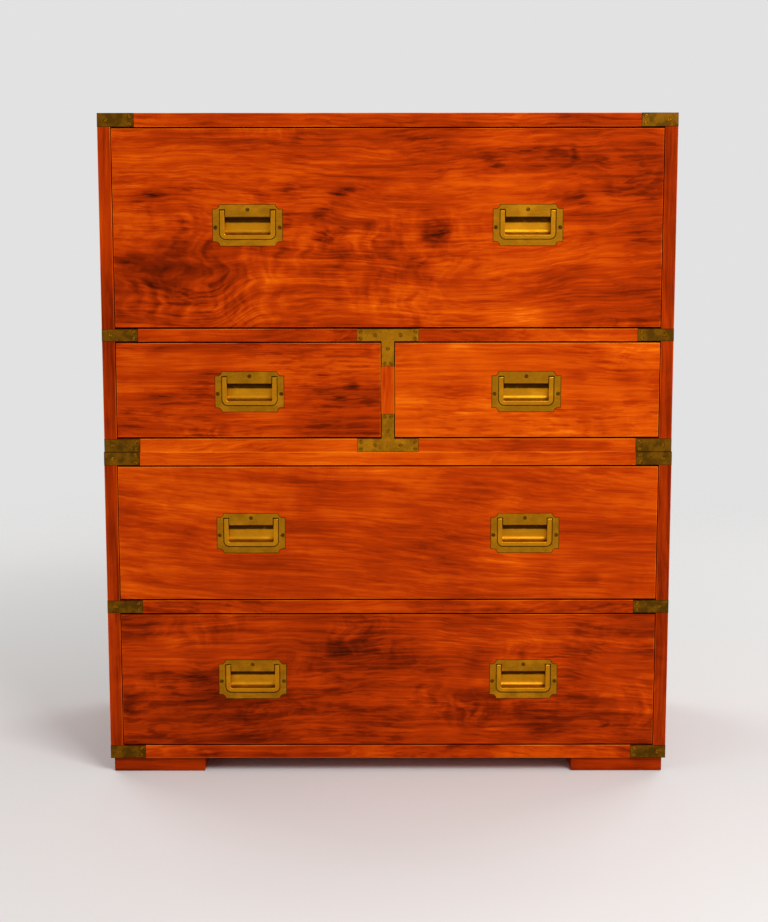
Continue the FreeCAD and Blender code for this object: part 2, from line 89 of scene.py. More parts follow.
# ---- measures: joinery -------------------------------------------------------------------
CASE_TAILS = 9
PIN_HALF = 5.0 * MM
END_PIN = 14.0 * MM
DOVETAIL_SLOPE = 1 / 6
BACK_BOARDS = 5
BACK_BOARD_GAP = 0.6 * MM
DIVIDER_W = 21.0 * MM
TENON_L = 10.0 * MM
TENON_T = 11.0 * MM
DOWEL_R = 8.0 * MM
DOWEL_STANDS = 12.0 * MM
DOWEL_INSET = 60.0 * MM
DOWEL_PLAY = 0.3 * MM
FOOT_W = 150.0 * MM
FOOT_D = 115.0 * MM
FIT = 0.05 * MM          # the hairline between pieces that are glued or let in

# ---- measures: straps and screws ---------------------------------------------------------
STRAP_T = 2.0 * MM
STRAP_ARM = 58.0 * MM
TOP_ARM_W = 21.5 * MM
ARM_SCREW = 7.0 * MM     # an arm's two outer screws, from its end
ARM_SPREAD = 0.27        # how far each of them is from the arm's middle line, in heights of the strap
FRONT_SCREW = 14.0 * MM  # the single screw nearer to the corner, on the front and on the side
SIDE_SCREW = 24.0 * MM
TOP_SCREWS = ((44.0 * MM, TOP_ARM_W / 2), (8.0 * MM, 8.0 * MM), (TOP_ARM_W / 2, 44.0 * MM))
T_BAR = 99.0 * MM
T_STEM = 40.0 * MM
BAR_SCREW = 5.7 * MM     # the T straps' screws: from the bar's ends and its middle line
BAR_INNER = 20.5 * MM
STEM_SCREW = 12.0 * MM
STEM_END = 4.4 * MM
STEM_SPREAD = 5.0 * MM
HEAD_R = 3.0 * MM
HEAD_EDGE = 0.18 * MM    # rounding of the heads' rims
SHANK_R = 1.5 * MM
HEAD_H = 1.6 * MM
SCREW_L = 13.0 * MM
TIP_L = 3.0 * MM
TIP_SHARE = 0.3          # how wide the tip is, as a share of the shank
SLOT_W = 0.8 * MM
SLOT_H = 0.7 * MM
SCREW_RIM = 0.55 * MM    # how far grime reaches from a screw's rim and slot
SINK_PLAY = 0.30 * MM    # how much larger their holes are all round
HEAD_SUNK = 0.15 * MM    # how far the heads lie below the face
HOLE_CLEAR = 0.02 * MM   # how far what cuts their holes stands out of the face
TURN_STEP = math.radians(67)
SCREW_SIDES = 24

# ---- measures: pulls ---------------------------------------------------------------------
PLATE_W = 111.0 * MM
PLATE_H = 65.5 * MM
PLATE_T = 3.0 * MM
NOTCH_R = 7.0 * MM
NOTCH_SHOULDER = 4.0 * MM
CUP_HALF_W = 36.0 * MM
CUP_TOP = 12.7 * MM
CUP_BOTTOM = -15.0 * MM
CUP_DEPTH = 13.5 * MM
CUP_WALL = 1.5 * MM
CUP_ROUND = 9.0 * MM
CUP_SHADOW_LINE = 3.0 * MM      # above this the cup's back is painted dark with the grime colour, a painted shadow under the plate's upper lip
CUP_SHADOW_FADE = 3.0 * MM
BAIL_HALF_W = 44.0 * MM
BAIL_TOP = 24.4 * MM
BAIL_BOTTOM = -21.8 * MM
BAIL_LEG = 7.6 * MM
BAIL_BAR = 6.8 * MM
BAIL_T = 5.4 * MM
BAIL_SINK = 0.2 * MM
BAIL_CORNER = 9.0 * MM   # rounding of the corners between legs and bar, outside
BAIL_INNER = 2.0 * MM    # and inside
BAIL_HEAD = 0.98 * BAIL_T / 2    # rounding of the legs' heads, just short of a half circle
BAIL_PLAY = 0.4 * MM
CHANNEL_WALL = 2.4 * MM
CHANNEL_INNER = 30.0 * MM
PIN_R = 1.5 * MM
PIN_SIDES = 24
PIN_START = 2.0 * MM     # a hinge pin's inner end, from the channel's inner wall
PIN_PLAY = 0.05 * MM
PIN_END = 0.4 * MM       # rounding of the hinge pins' ends
PIVOT_Y = BAIL_SINK + BAIL_T / 2
PIVOT_Z = BAIL_TOP - BAIL_T / 2
BORE_ZONE = 1.3 * PIN_R  # no edge nearer than this to a pin's middle is rounded
POCKET_PLAY = 0.25 * MM
RIM_W = 1.2 * MM         # how far grime or wear reaches from an outline
PLATE_SCREWS = ((0.0, 24.6 * MM), (-51.0 * MM, -3.5 * MM), (51.0 * MM, -3.5 * MM))

# ---- measures: finish and stage ----------------------------------------------------------
SHARP = math.radians(45)
SMOOTHED = math.radians(40)
FLAT = math.radians(0.5)
GRAIN_TURNS = {X: Matrix.Identity(3), Y: Matrix.Rotation(math.radians(-90), 3, "Z"),
               Z: Matrix.Rotation(math.radians(90), 3, "Y")}
PLANK_STEP = Vector((3.17, 1.73, 2.29))
RAIL_PLANK = 12          # the log of the first piece of each kind; the boards of the cases start at 1
BACK_PLANK = 20
FOOT_PLANK = 32
FRONT_PLANK = 40
LINING_PLANK = 11
SHELLAC = (1.0, 0.40, 0.12)      # the amber of the polish, as it colours what the wood reflects
CASE_GLOSS = 0.30
FRONT_GLOSS = 0.26
LINING_GLOSS = 0.52
BACK_GLOSS = 0.50
FLOOR_FADES = 1.2        # how far out the floor starts to fade, and where it has gone
FLOOR_GONE = 3.4
FLOOR_SIDES = 96
SENSOR_W = 36.0          # of the camera, in millimetres
SIGHT = 100.0            # how far the camera sees
LAMPS = (("key_lamp", (1.4, -2.4, 2.5), 1.5, "key_power"),
         ("fill_lamp", (-2.6, -2.4, 1.2), 2.0, "fill_power"),
         ("back_lamp_left", (-2.4, 2.4, 2.2), 2.0, "back_power"),
         ("back_lamp_right", (2.4, 2.4, 2.2), 2.0, "back_power"))
DRAWERS = ("deep_drawer", "short_drawer_left", "short_drawer_right", "middle_drawer", "bottom_drawer")
CASES = ("lower", "upper")


def tint(red, green, blue):
    """A colour given from 0 to 255 as on a screen, in the linear values that shaders take."""
    parts = [part / 255 for part in (red, green, blue)]
    return [part / 12.92 if part <= 0.04045 else ((part + 0.055) / 1.055) ** 2.4 for part in parts]


# ---- settings ----------------------------------------------------------------------------
def edge_field(name, description, default):
    return FloatProperty(name=name, description=description, default=default, min=0.0, unit="LENGTH")


def colour_field(name, description, *parts):
    return FloatVectorProperty(name=name, description=description, default=tint(*parts), subtype="COLOR")


def power_field(name, description, default):
    return FloatProperty(name=name, description=description, default=default, unit="POWER")


class ChestWoodSettings(bpy.types.PropertyGroup):
    """Edges and tones of the woodwork."""

    case_arris: edge_field("Case arris", "Rounding of the edges of the case boards", 1.1 * MM)
    front_arris: edge_field("Drawer arris", "Rounding of the edges of the drawer faces", 1.0 * MM)
    back_arris: edge_field("Back board edge", "Chamfer along each back board", 1.6 * MM)
    foot_arris: edge_field("Foot arris", "Rounding of the upright edges of the feet", 1.5 * MM)
    foot_chamfer: edge_field("Foot chamfer", "Chamfer where the feet meet the floor", 2.0 * MM)
    vein: colour_field("Vein", "Colour of the darkest veins", 66, 12, 1)
    shade: colour_field("Shade", "Colour of the shaded figure", 124, 29, 1)
    body: colour_field("Body", "Main colour of the polished wood", 182, 53, 2)
    glow: colour_field("Glow", "Colour of the bright figure", 222, 86, 4)
    flame: colour_field("Flame", "Colour of the brightest streaks", 248, 130, 18)
    lining: colour_field("Lining", "Main colour of the drawer linings", 150, 92, 48)
    back: colour_field("Back", "Main colour of the back boards", 112, 56, 26)


class ChestBrassSettings(bpy.types.PropertyGroup):
    """Edges and tones of the brass."""

    plate_edge: edge_field("Plate edge", "Softness of the edges of plates and straps", 0.3 * MM)
    bail_edge: edge_field("Bail edge", "Rounding of the bails", 1.1 * MM)
    bright: colour_field("Bright brass", "Brass where hands keep it bright", 238, 158, 22)
    aged: colour_field("Aged brass", "Brass with its usual film", 164, 104, 12)
    patina: colour_field("Patina", "Brass in old blotches", 84, 54, 8)
    # This colour also darkens the upper part of each cup, a painted shadow under the plate's lip.
    grime_and_shade: colour_field("Grime", "What gathers along the outlines of the brass", 30, 19, 6)


class ChestStageSettings(bpy.types.PropertyGroup):
    """Camera, lamps and floor."""

    lens: FloatProperty(name="Lens", description="Focal length on a 36 mm sensor", default=62.5,
                        unit="CAMERA")
    distance: FloatProperty(name="Distance", description="Camera to the plane of the drawer faces",
                            default=2.5605, unit="LENGTH")
    height: FloatProperty(name="Height", description="Camera above the floor", default=0.8492,
                          unit="LENGTH")
    aside: FloatProperty(name="Aside", description="Camera to the right of the chest's middle",
                         default=-0.0063, unit="LENGTH")
    dip: FloatProperty(name="Dip", description="How far the camera looks down", default=math.radians(7.35),
                       subtype="ANGLE")
    roll: FloatProperty(name="Roll", description="Turn of the camera about its line of sight",
                        default=math.radians(-0.05), subtype="ANGLE")
    key_power: power_field("Key lamp", "Power of the high lamp in front", 72.0)
    fill_power: power_field("Fill lamp", "Power of the low lamp at the front left", 10.0)
    back_power: power_field("Back lamps", "Power of the two lamps behind", 34.0)
    sky: FloatProperty(name="Room light", description="Strength of the light from all around", default=0.42)
    floor: colour_field("Floor", "Colour of the floor", 236, 235, 233)
    backdrop: colour_field("Backdrop", "Colour of the room behind the chest", 226, 226, 226)


# ---- the bench: steps that every piece shares --------------------------------------------
def select_only(*pieces):
    bpy.ops.object.select_all(action="DESELECT")
    for piece in pieces:
        piece.select_set(True)
    bpy.context.view_layer.objects.active = pieces[-1]


def settle(piece):
    """Puts the piece's place, turn and size into its mesh."""
    select_only(piece)
    bpy.ops.object.transform_apply(location=True, rotation=True, scale=True)
    return piece


def ordered(first, second):
    """The lowest and the highest corner of the box between two corners."""
    return Vector(map(min, first, second)), Vector(map(max, first, second))


def block(name, first, second):
    low, high = ordered(first, second)
    bpy.ops.object.select_all(action="DESELECT")
    bpy.ops.mesh.primitive_cube_add(size=1, location=(low + high) / 2)
    piece = bpy.context.object
    piece.name = name
    piece.scale = high - low
    return settle(piece)


def rod(name, middle, axis, radius, length, sides=48):
    turn = {X: (0, math.pi / 2, 0), Y: (math.pi / 2, 0, 0), Z: (0, 0, 0)}[axis]
    bpy.ops.object.select_all(action="DESELECT")
    bpy.ops.mesh.primitive_cylinder_add(vertices=sides, radius=radius, depth=length, location=middle,
                                        rotation=turn)
    piece = bpy.context.object
    piece.name = name
    return settle(piece)


def at(element, axis, value):
    """True where every corner of an edge or face has that coordinate."""
    return all(abs(corner.co[axis] - value) < TOUCH for corner in element.verts)


def runs(edge, axis):
    """True where the edge lies along the axis."""
    span = edge.verts[1].co - edge.verts[0].co
    return abs(abs(span[axis]) - span.length) < TOUCH


def open_with(piece, chosen, kind="EDGE"):
    """Opens the piece for editing with the edges or faces that chosen picks selected."""
    select_only(piece)
    bpy.ops.object.mode_set(mode="EDIT")
    bpy.ops.mesh.select_mode(type=kind)
    bpy.ops.mesh.select_all(action="DESELECT")
    mesh = bmesh.from_edit_mesh(piece.data)
    for element in mesh.edges if kind == "EDGE" else mesh.faces:
        if chosen(element):
            element.select_set(True)
    bmesh.update_edit_mesh(piece.data)


def close():
    bpy.ops.object.mode_set(mode="OBJECT")


def round_edges(piece, chosen, width, segments=3):
    open_with(piece, chosen)
    bpy.ops.mesh.bevel(offset=width, segments=segments, affect="EDGES", profile=0.5)
    close()
    return piece


def apply(piece, modifier):
    select_only(piece)
    bpy.ops.object.modifier_apply(modifier=modifier.name)


def discard(*tools):
    for tool in tools:
        mesh = tool.data
        bpy.data.objects.remove(tool)
        bpy.data.meshes.remove(mesh)


def work(piece, tool, operation, keep=False):
    """Cuts the piece with the tool or joins them, and puts the tool away."""
    modifier = piece.modifiers.new("work", "BOOLEAN")
    modifier.operation = operation
    modifier.solver = "EXACT"
    modifier.object = tool
    apply(piece, modifier)
    if not keep:
        discard(tool)
    return piece


def cut(piece, *tools, keep=False):
    for tool in tools:
        work(piece, tool, "DIFFERENCE", keep)
    return piece


def fuse(piece, *tools):
    for tool in tools:
        work(piece, tool, "UNION")
    return piece


def join(name, pieces):
    """Several separate solids as one object."""
    select_only(*pieces)
    if len(pieces) > 1:
        bpy.ops.object.join()
    piece = bpy.context.object
    piece.name = name
    return piece


def moved(piece, way):
    """The piece moved, turned or mirrored by the matrix way."""
    piece.matrix_world = way
    settle(piece)
    if way.determinant() < 0:
        face_outwards(piece)
    return piece


def copy_of(piece, name, way=Matrix.Identity(4)):
    """A moved copy of the piece with a mesh of its own."""
    select_only(piece)
    bpy.ops.object.duplicate(linked=False)
    twin = bpy.context.object
    twin.name = name
    return moved(twin, way)


def face_outwards(piece):
    open_with(piece, lambda face: True, "FACE")
    bpy.ops.mesh.remove_doubles(threshold=TOUCH / 10)
    bpy.ops.mesh.normals_make_consistent(inside=False)
    close()


def tidy_flats(piece):
    """Takes out the lines that cutting leaves across flat faces."""
    open_with(piece, lambda face: True, "FACE")
    bpy.ops.mesh.remove_doubles(threshold=TOUCH)
    bpy.ops.mesh.dissolve_limited(angle_limit=FLAT)
    close()


def sharp(edge):
    """True where two faces of the piece meet at more than half a right angle."""
    return edge.calc_face_angle(0.0) > SHARP


def soften(piece, width, segments=2, also=lambda edge: True):
    """Rounds the sharp edges that also picks."""
    return round_edges(piece, lambda edge: sharp(edge) and also(edge), width, segments)


def smooth(piece):
    """Smooth shading over small turns, with flat faces kept flat."""
    select_only(piece)
    bpy.ops.object.shade_smooth_by_angle(angle=SMOOTHED)
    modifier = piece.modifiers.new("weigh", "WEIGHTED_NORMAL")
    modifier.keep_sharp = True
    apply(piece, modifier)
    return piece


def outline_of(piece, also=lambda edge: True):
    """The two ends of every sharp edge that also picks."""
    mesh = bmesh.new()
    mesh.from_mesh(piece.data)
    lines = [tuple(corner.co.copy() for corner in edge.verts) for edge in mesh.edges
             if sharp(edge) and also(edge)]
    mesh.free()
    return lines


def frame_flats(piece, planes, width):
    """Cuts a narrow frame along the outline of each flat face, for what gathers or wears there."""
    for axis, value in planes:
        open_with(piece, lambda face: at(face, axis, value), "FACE")
        bpy.ops.mesh.inset(thickness=width, use_even_offset=True)
        close()


def off_line(place, first, last):
    """How far a place is from the line between two others, which may be one and the same."""
    share = 0.0 if first == last else intersect_point_line(place, first, last)[1]
    return (place - first.lerp(last, min(1.0, max(0.0, share)))).length


def lay_rim(piece, lines, width):
    """Stores how far each corner is from an outline: 0 on it, 1 from width on."""
    field = piece.data.attributes.new("rim", "FLOAT", "POINT")
    reaches = [min(off_line(corner.co, *line) for line in lines) for corner in piece.data.vertices]
    field.data.foreach_set("value", [min(1.0, reach / width) for reach in reaches])


def node_tool(node):
    """The shape of a CAD node, merged, as a tool to cut with."""
    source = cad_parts[node]
    tool = bpy.data.objects.new("tool", source.data.copy())
    bpy.context.scene.collection.objects.link(tool)
    open_with(tool, lambda face: True, "FACE")
    bpy.ops.mesh.remove_doubles(threshold=TOUCH)
    close()
    return tool


def lay_grain(piece, axis, plank):
    """Stores where each corner lies in its plank, with the grain along X, and a log for each plank."""
    field = piece.data.attributes.new("grain", "FLOAT_VECTOR", "POINT")
    turn = GRAIN_TURNS[axis]
    places = [part for corner in piece.data.vertices for part in turn @ corner.co + PLANK_STEP * plank]
    field.data.foreach_set("vector", places)


def lay_arris_sheen(piece, front, arris):
    """Marks the rounded edges at the front of a board, which the wood paints lighter: a painted highlight
    where polish and light gather.
    """
    field = piece.data.attributes.new("worn", "FLOAT", "POINT")
    depths = [(corner.co.y - front) / arris for corner in piece.data.vertices]
    field.data.foreach_set("value", [float(0.02 < depth < 0.98) for depth in depths])


def hand_over(piece, body, finish, slot, *nodes):
    """Gives a finished piece its finish, the body that carries it and the nodes it stands for."""
    piece.data.materials.clear()
    piece.data.materials.append(finish)
    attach(piece, body)
    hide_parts(*nodes)
    return piece


# ---- materials ---------------------------------------------------------------------------
class Recipe:
    """A material and short ways to add nodes to it."""

    def __init__(self, name):
        self.material = bpy.data.materials.new(name)
        self.material.use_nodes = True
        self.tree = self.material.node_tree
        self.shader = self.tree.nodes["Principled BSDF"]

    def put(self, socket, value):
        if isinstance(value, bpy.types.NodeSocket):
            self.tree.links.new(value, socket)
        else:
            socket.default_value = value

    def node(self, kind, values=(), **settings):
        """Adds a node; values fill its inputs in order, None leaves one as it is."""
        made = self.tree.nodes.new(kind)
        for name, value in settings.items():
            setattr(made, name, value)
        for socket, value in zip(made.inputs, values):
            if value is not None:
                self.put(socket, value)
        return made

    def math(self, operation, *values, clamp=False):
        return self.node("ShaderNodeMath", values, operation=operation, use_clamp=clamp).outputs[0]

    def vector(self, operation, *values):
        made = self.node("ShaderNodeVectorMath", values, operation=operation)
        return made.outputs["Value" if operation == "LENGTH" else "Vector"]

    def noise(self, place, stretch, detail=2.0, rough=0.5):
        """Soft noise from 0 to 1, with stretch as cells per metre along X, Y and Z."""
        made = self.node("ShaderNodeTexNoise", noise_dimensions="3D")
        self.put(made.inputs["Vector"], self.vector("MULTIPLY", place, stretch))
        made.inputs["Scale"].default_value = 1.0
        made.inputs["Detail"].default_value = detail
        made.inputs["Roughness"].default_value = rough
        return made.outputs[0]

    def spread(self, value, low, high, to_low=0.0, to_high=1.0):
        """Maps low..high onto to_low..to_high with soft ends."""
        made = self.node("ShaderNodeMapRange", (value, low, high, to_low, to_high),
                         interpolation_type="SMOOTHSTEP")
        return made.outputs[0]

    def sum(self, *terms):
        total = terms[0]
        for term in terms[1:]:
            total = self.math("ADD", total, term)
        return total

    def times(self, value, factor):
        return self.math("MULTIPLY", value, factor)

    def less(self, value, taken):
        return self.math("SUBTRACT", value, taken)

    def blend(self, share, first, second, kind="RGBA"):
        """Two colours or, where kind is VECTOR, two places mixed; share is how much of the second."""
        made = self.node("ShaderNodeMix", data_type=kind)
        self.put(made.inputs["Factor"], share)
        for socket, value in (("A", first), ("B", second)):
            target = [item for item in made.inputs if item.name == socket and item.type == kind][0]
            self.put(target, value if isinstance(value, bpy.types.NodeSocket) else (*value, 1.0))
        return [item for item in made.outputs if item.type == kind][0]

    def ramp(self, value, stops):
        """Colours along a value from 0 to 1."""
        made = self.node("ShaderNodeValToRGB", (value,))
        ramp = made.color_ramp
        ramp.interpolation = "LINEAR"
        while len(ramp.elements) < len(stops):
            ramp.elements.new(1.0)
        for element, (position, colour) in zip(ramp.elements, stops):
            element.position = position
            element.color = (*colour, 1.0)
        return made.outputs["Color"]

    def bump(self, height, strength, distance):
        made = self.node("ShaderNodeBump")
        made.inputs["Strength"].default_value = strength
        made.inputs["Distance"].default_value = distance
        self.put(made.inputs["Height"], height)
        self.put(self.shader.inputs["Normal"], made.outputs["Normal"])

    def own(self, **values):
        """Sets values that are the same all over on the shader's own sockets."""
        for name, value in values.items():
            self.shader.inputs[name.replace("_", " ")].default_value = value


class Figure(NamedTuple):
    """How strongly each kind of figure shows in a piece of wood, and where it has marks of its own."""

    streaks: float = 0.14
    veins: float = 0.12
    dashes: float = 0.12
    clouds: float = 0.20
    # the golden patches are partly flame figure and partly a painted sheen
    flames_and_sheen: float = 0.10
    ripple: float = 0.05
    wander: float = 1.0
    slope: float = 0.0
    lift: float = 0.0
    whorls: tuple = ()       # x, z and radius
    bends: tuple = ()        # x, half width, drop, and the heights between which it fades
    smudges: tuple = ()      # x, z, half width, half height and darkness, below 0 where it glows

    def shifted(self, shift):
        """The same figure with its marks moved along and across the board."""
        return self._replace(
            whorls=[(x + shift.x, z + shift.z, radius) for x, z, radius in self.whorls],
            bends=[(x + shift.x, half, drop, low + shift.z, high + shift.z)
                   for x, half, drop, low, high in self.bends],
            smudges=[(x + shift.x, z + shift.z, *rest) for x, z, *rest in self.smudges])


# What each pattern in the wood is made from: cells per metre along and across the grain, detail,
# roughness, and the part of the noise that is spread over 0 to 1 where it isn't taken as it is.
PATTERNS = {
    "slow": (1.5, 4.0, 1.0, 0.5, None),
    "quick": (11.0, 26.0, 2.0, 0.5, None),
    "fibre": (10.0, 520.0, 3.0, 0.62, None),
    "thread": (13.0, 300.0, 2.0, 0.6, (0.38, 0.62)),
    "streak": (4.0, 170.0, 3.0, 0.6, (0.30, 0.70)),
    "broad": (2.4, 42.0, 2.0, 0.5, (0.30, 0.70)),
    "veiny": (1.8, 7.0, 1.0, 0.5, (0.42, 0.62)),
    "vein": (4.6, 180.0, 2.0, 0.6, (0.54, 0.66)),
    "flecks": (6.0, 13.0, 2.0, 0.5, None),
    "dash": (26.0, 170.0, 2.0, 0.6, (0.47, 0.61)),
    "cloud": (6.0, 10.0, 3.0, 0.55, None),
    "flame": (7.0, 34.0, 3.0, 0.6, (0.52, 0.74)),
    "rippled": (4.0, 9.0, 1.0, 0.5, (0.46, 0.64)),
    "ripple": (62.0, 24.0, 2.0, 0.45, None),
    "pore": (120.0, 1700.0, 1.0, 0.5, (0.56, 0.74)),
}


def plank_place(recipe):
    """The place in the plank that lay_grain stored."""
    return recipe.node("ShaderNodeAttribute", attribute_name="grain").outputs["Vector"]


def object_place(recipe, axis, plank):
    """The place in the plank for a piece whose grain runs along the axis."""
    place = recipe.node("ShaderNodeTexCoord").outputs["Object"]
    turn = GRAIN_TURNS[axis].to_euler()
    return recipe.node("ShaderNodeMapping", (place, PLANK_STEP * plank, turn)).outputs[0]


def grain_push(recipe, figure, along, across):
    """How far whorls and bends push the grain across the board at each place."""
    pushes = []
    for x, z, radius in figure.whorls:
        du = recipe.less(along, x)
        dw = recipe.less(across, z)
        square = recipe.sum(recipe.times(du, du), recipe.times(dw, dw), 0.6 * radius ** 2)
        pushes.append(recipe.math("DIVIDE", recipe.times(dw, -0.35 * radius ** 2), square))
    for x, half, drop, low, high in figure.bends:
        step = recipe.spread(along, x - half, x + half, drop, 0.0)
        pushes.append(recipe.times(step, recipe.spread(across, low, high, 1.0, 0.0)))
    return pushes


def dark_marks(recipe, figure, ragged):
    """How dark whorls and smudges are at each place; ragged is the place with its edges roughened."""

    def from_mark(x, z, half_width, half_height):
        """The way from a mark's middle, measured in the mark's own half width and half height."""
        way = recipe.vector("SUBTRACT", ragged, (x, 0, z))
        return recipe.vector("MULTIPLY", way, (1 / half_width, 0, 1 / half_height))

    marks = []
    for x, z, radius in figure.whorls:
        away = from_mark(x, z, radius, radius)
        reach = recipe.vector("LENGTH", away)
        rim = recipe.spread(recipe.math("ABSOLUTE", recipe.less(reach, 0.9)), 0.0, 0.8, 0.17, 0.0)
        height = recipe.node("ShaderNodeSeparateXYZ", (away,)).outputs["Z"]
        marks.append(recipe.times(rim, recipe.spread(height, -0.6, 0.3, 1.0, 0.1)))
    for x, z, half_width, half_height, depth in figure.smudges:
        reach = recipe.vector("LENGTH", from_mark(x, z, half_width, half_height))
        marks.append(recipe.spread(reach, 0.0, 1.7, depth, 0.0))
    return marks


def wood(name, place, figure, stops, gloss):
    """Polished hardwood: fibres and veins that follow the rings, dashes, clouds, cross figure and pores."""
    recipe = Recipe(name)
    place = place(recipe)
    along, through, across = recipe.node("ShaderNodeSeparateXYZ", (place,)).outputs

    def centred(value, weight):
        return recipe.times(recipe.less(value, 0.5), weight)

    def pattern(kind, where):
        cells_along, cells_across, detail, rough, kept = PATTERNS[kind]
        noise = recipe.noise(where, (cells_along, cells_across, cells_across), detail, rough)
        return recipe.spread(noise, *kept) if kept else noise

    slow = pattern("slow", place)
    quick = pattern("quick", place)
    wander = recipe.sum(centred(slow, 0.12 * figure.wander), centred(quick, 0.016 * figure.wander),
                        recipe.times(along, figure.slope))
    crossed = recipe.sum(across, wander, *grain_push(recipe, figure, along, across))
    depth = recipe.sum(through, recipe.times(wander, 0.7))
    rings = recipe.node("ShaderNodeCombineXYZ", (along, depth, crossed)).outputs[0]

    fibre, thread, streak, broad, vein, dash, flame, pore = (pattern(kind, rings) for kind in (
        "fibre", "thread", "streak", "broad", "vein", "dash", "flame", "pore"))
    veiny, flecks, cloud, rippled = (pattern(kind, place) for kind in ("veiny", "flecks", "cloud", "rippled"))
    flecked = recipe.spread(flecks, 0.52 - figure.dashes, 0.70 - figure.dashes)
    # Golden flame patches where the clouds allow: partly flame figure and partly a painted sheen.
    lit = recipe.times(recipe.spread(cloud, 0.48, 0.60), recipe.sum(0.6, recipe.times(thread, 0.8)))
    torn = recipe.node("ShaderNodeCombineXYZ", (recipe.less(quick, 0.5), 0.0, recipe.less(cloud, 0.5)))
    ragged = recipe.vector("ADD", place, recipe.vector("MULTIPLY", torn.outputs[0], (0.08, 0.0, 0.06)))
    ripple = pattern("ripple", ragged)

    tone = recipe.sum(0.5 + figure.lift, centred(fibre, 0.18), centred(streak, figure.streaks),
                      centred(thread, figure.streaks * 0.5), centred(broad, figure.streaks),
                      centred(recipe.spread(cloud, 0.32, 0.68), figure.clouds),
                      recipe.times(recipe.times(flame, figure.flames_and_sheen), lit),
                      recipe.times(centred(ripple, figure.ripple * 4), rippled),
                      recipe.times(recipe.times(vein, -figure.veins), veiny),
                      recipe.times(recipe.times(dash, -figure.dashes), flecked),
                      recipe.times(pore, -0.05))
    marks = dark_marks(recipe, figure, ragged)
    if marks:
        broken = recipe.sum(0.45, recipe.times(dash, 0.6), recipe.times(thread, 0.4))
        tone = recipe.less(tone, recipe.times(recipe.sum(*marks), broken))
    # The rounded front edges are painted lighter, a painted highlight along the arris, broken up by noise.
    worn = recipe.node("ShaderNodeAttribute", attribute_name="worn").outputs["Fac"]
    worn = recipe.times(worn, recipe.spread(quick, 0.30, 0.60, 0.12, 0.42))
    tone = recipe.math("ADD", tone, worn, clamp=True)

    recipe.put(recipe.shader.inputs["Base Color"], recipe.ramp(tone, stops))
    rough = recipe.spread(recipe.sum(recipe.times(pore, 0.5), recipe.times(broad, 0.5)), 0.0, 1.0,
                          gloss, gloss + 0.12)
    recipe.put(recipe.shader.inputs["Roughness"], rough)
    recipe.bump(recipe.sum(recipe.times(pore, -0.6), recipe.times(fibre, 0.4)), 0.20, 0.10 * MM)
    recipe.own(Specular_IOR_Level=0.12, Specular_Tint=(*SHELLAC, 1.0))
    return recipe.material


def case_stops():
    tones = bpy.context.scene.chest_wood
    return ((0.0, tones.vein), (0.25, tones.shade), (0.5, tones.body), (0.75, tones.glow),
            (1.0, tones.flame))


def plain_stops(colour):
    """Five tones round one colour, for wood that isn't polished."""
    return [(position, [part * share for part in colour])
            for position, share in ((0.0, 0.45), (0.25, 0.75), (0.5, 1.0), (0.75, 1.2), (1.0, 1.38))]


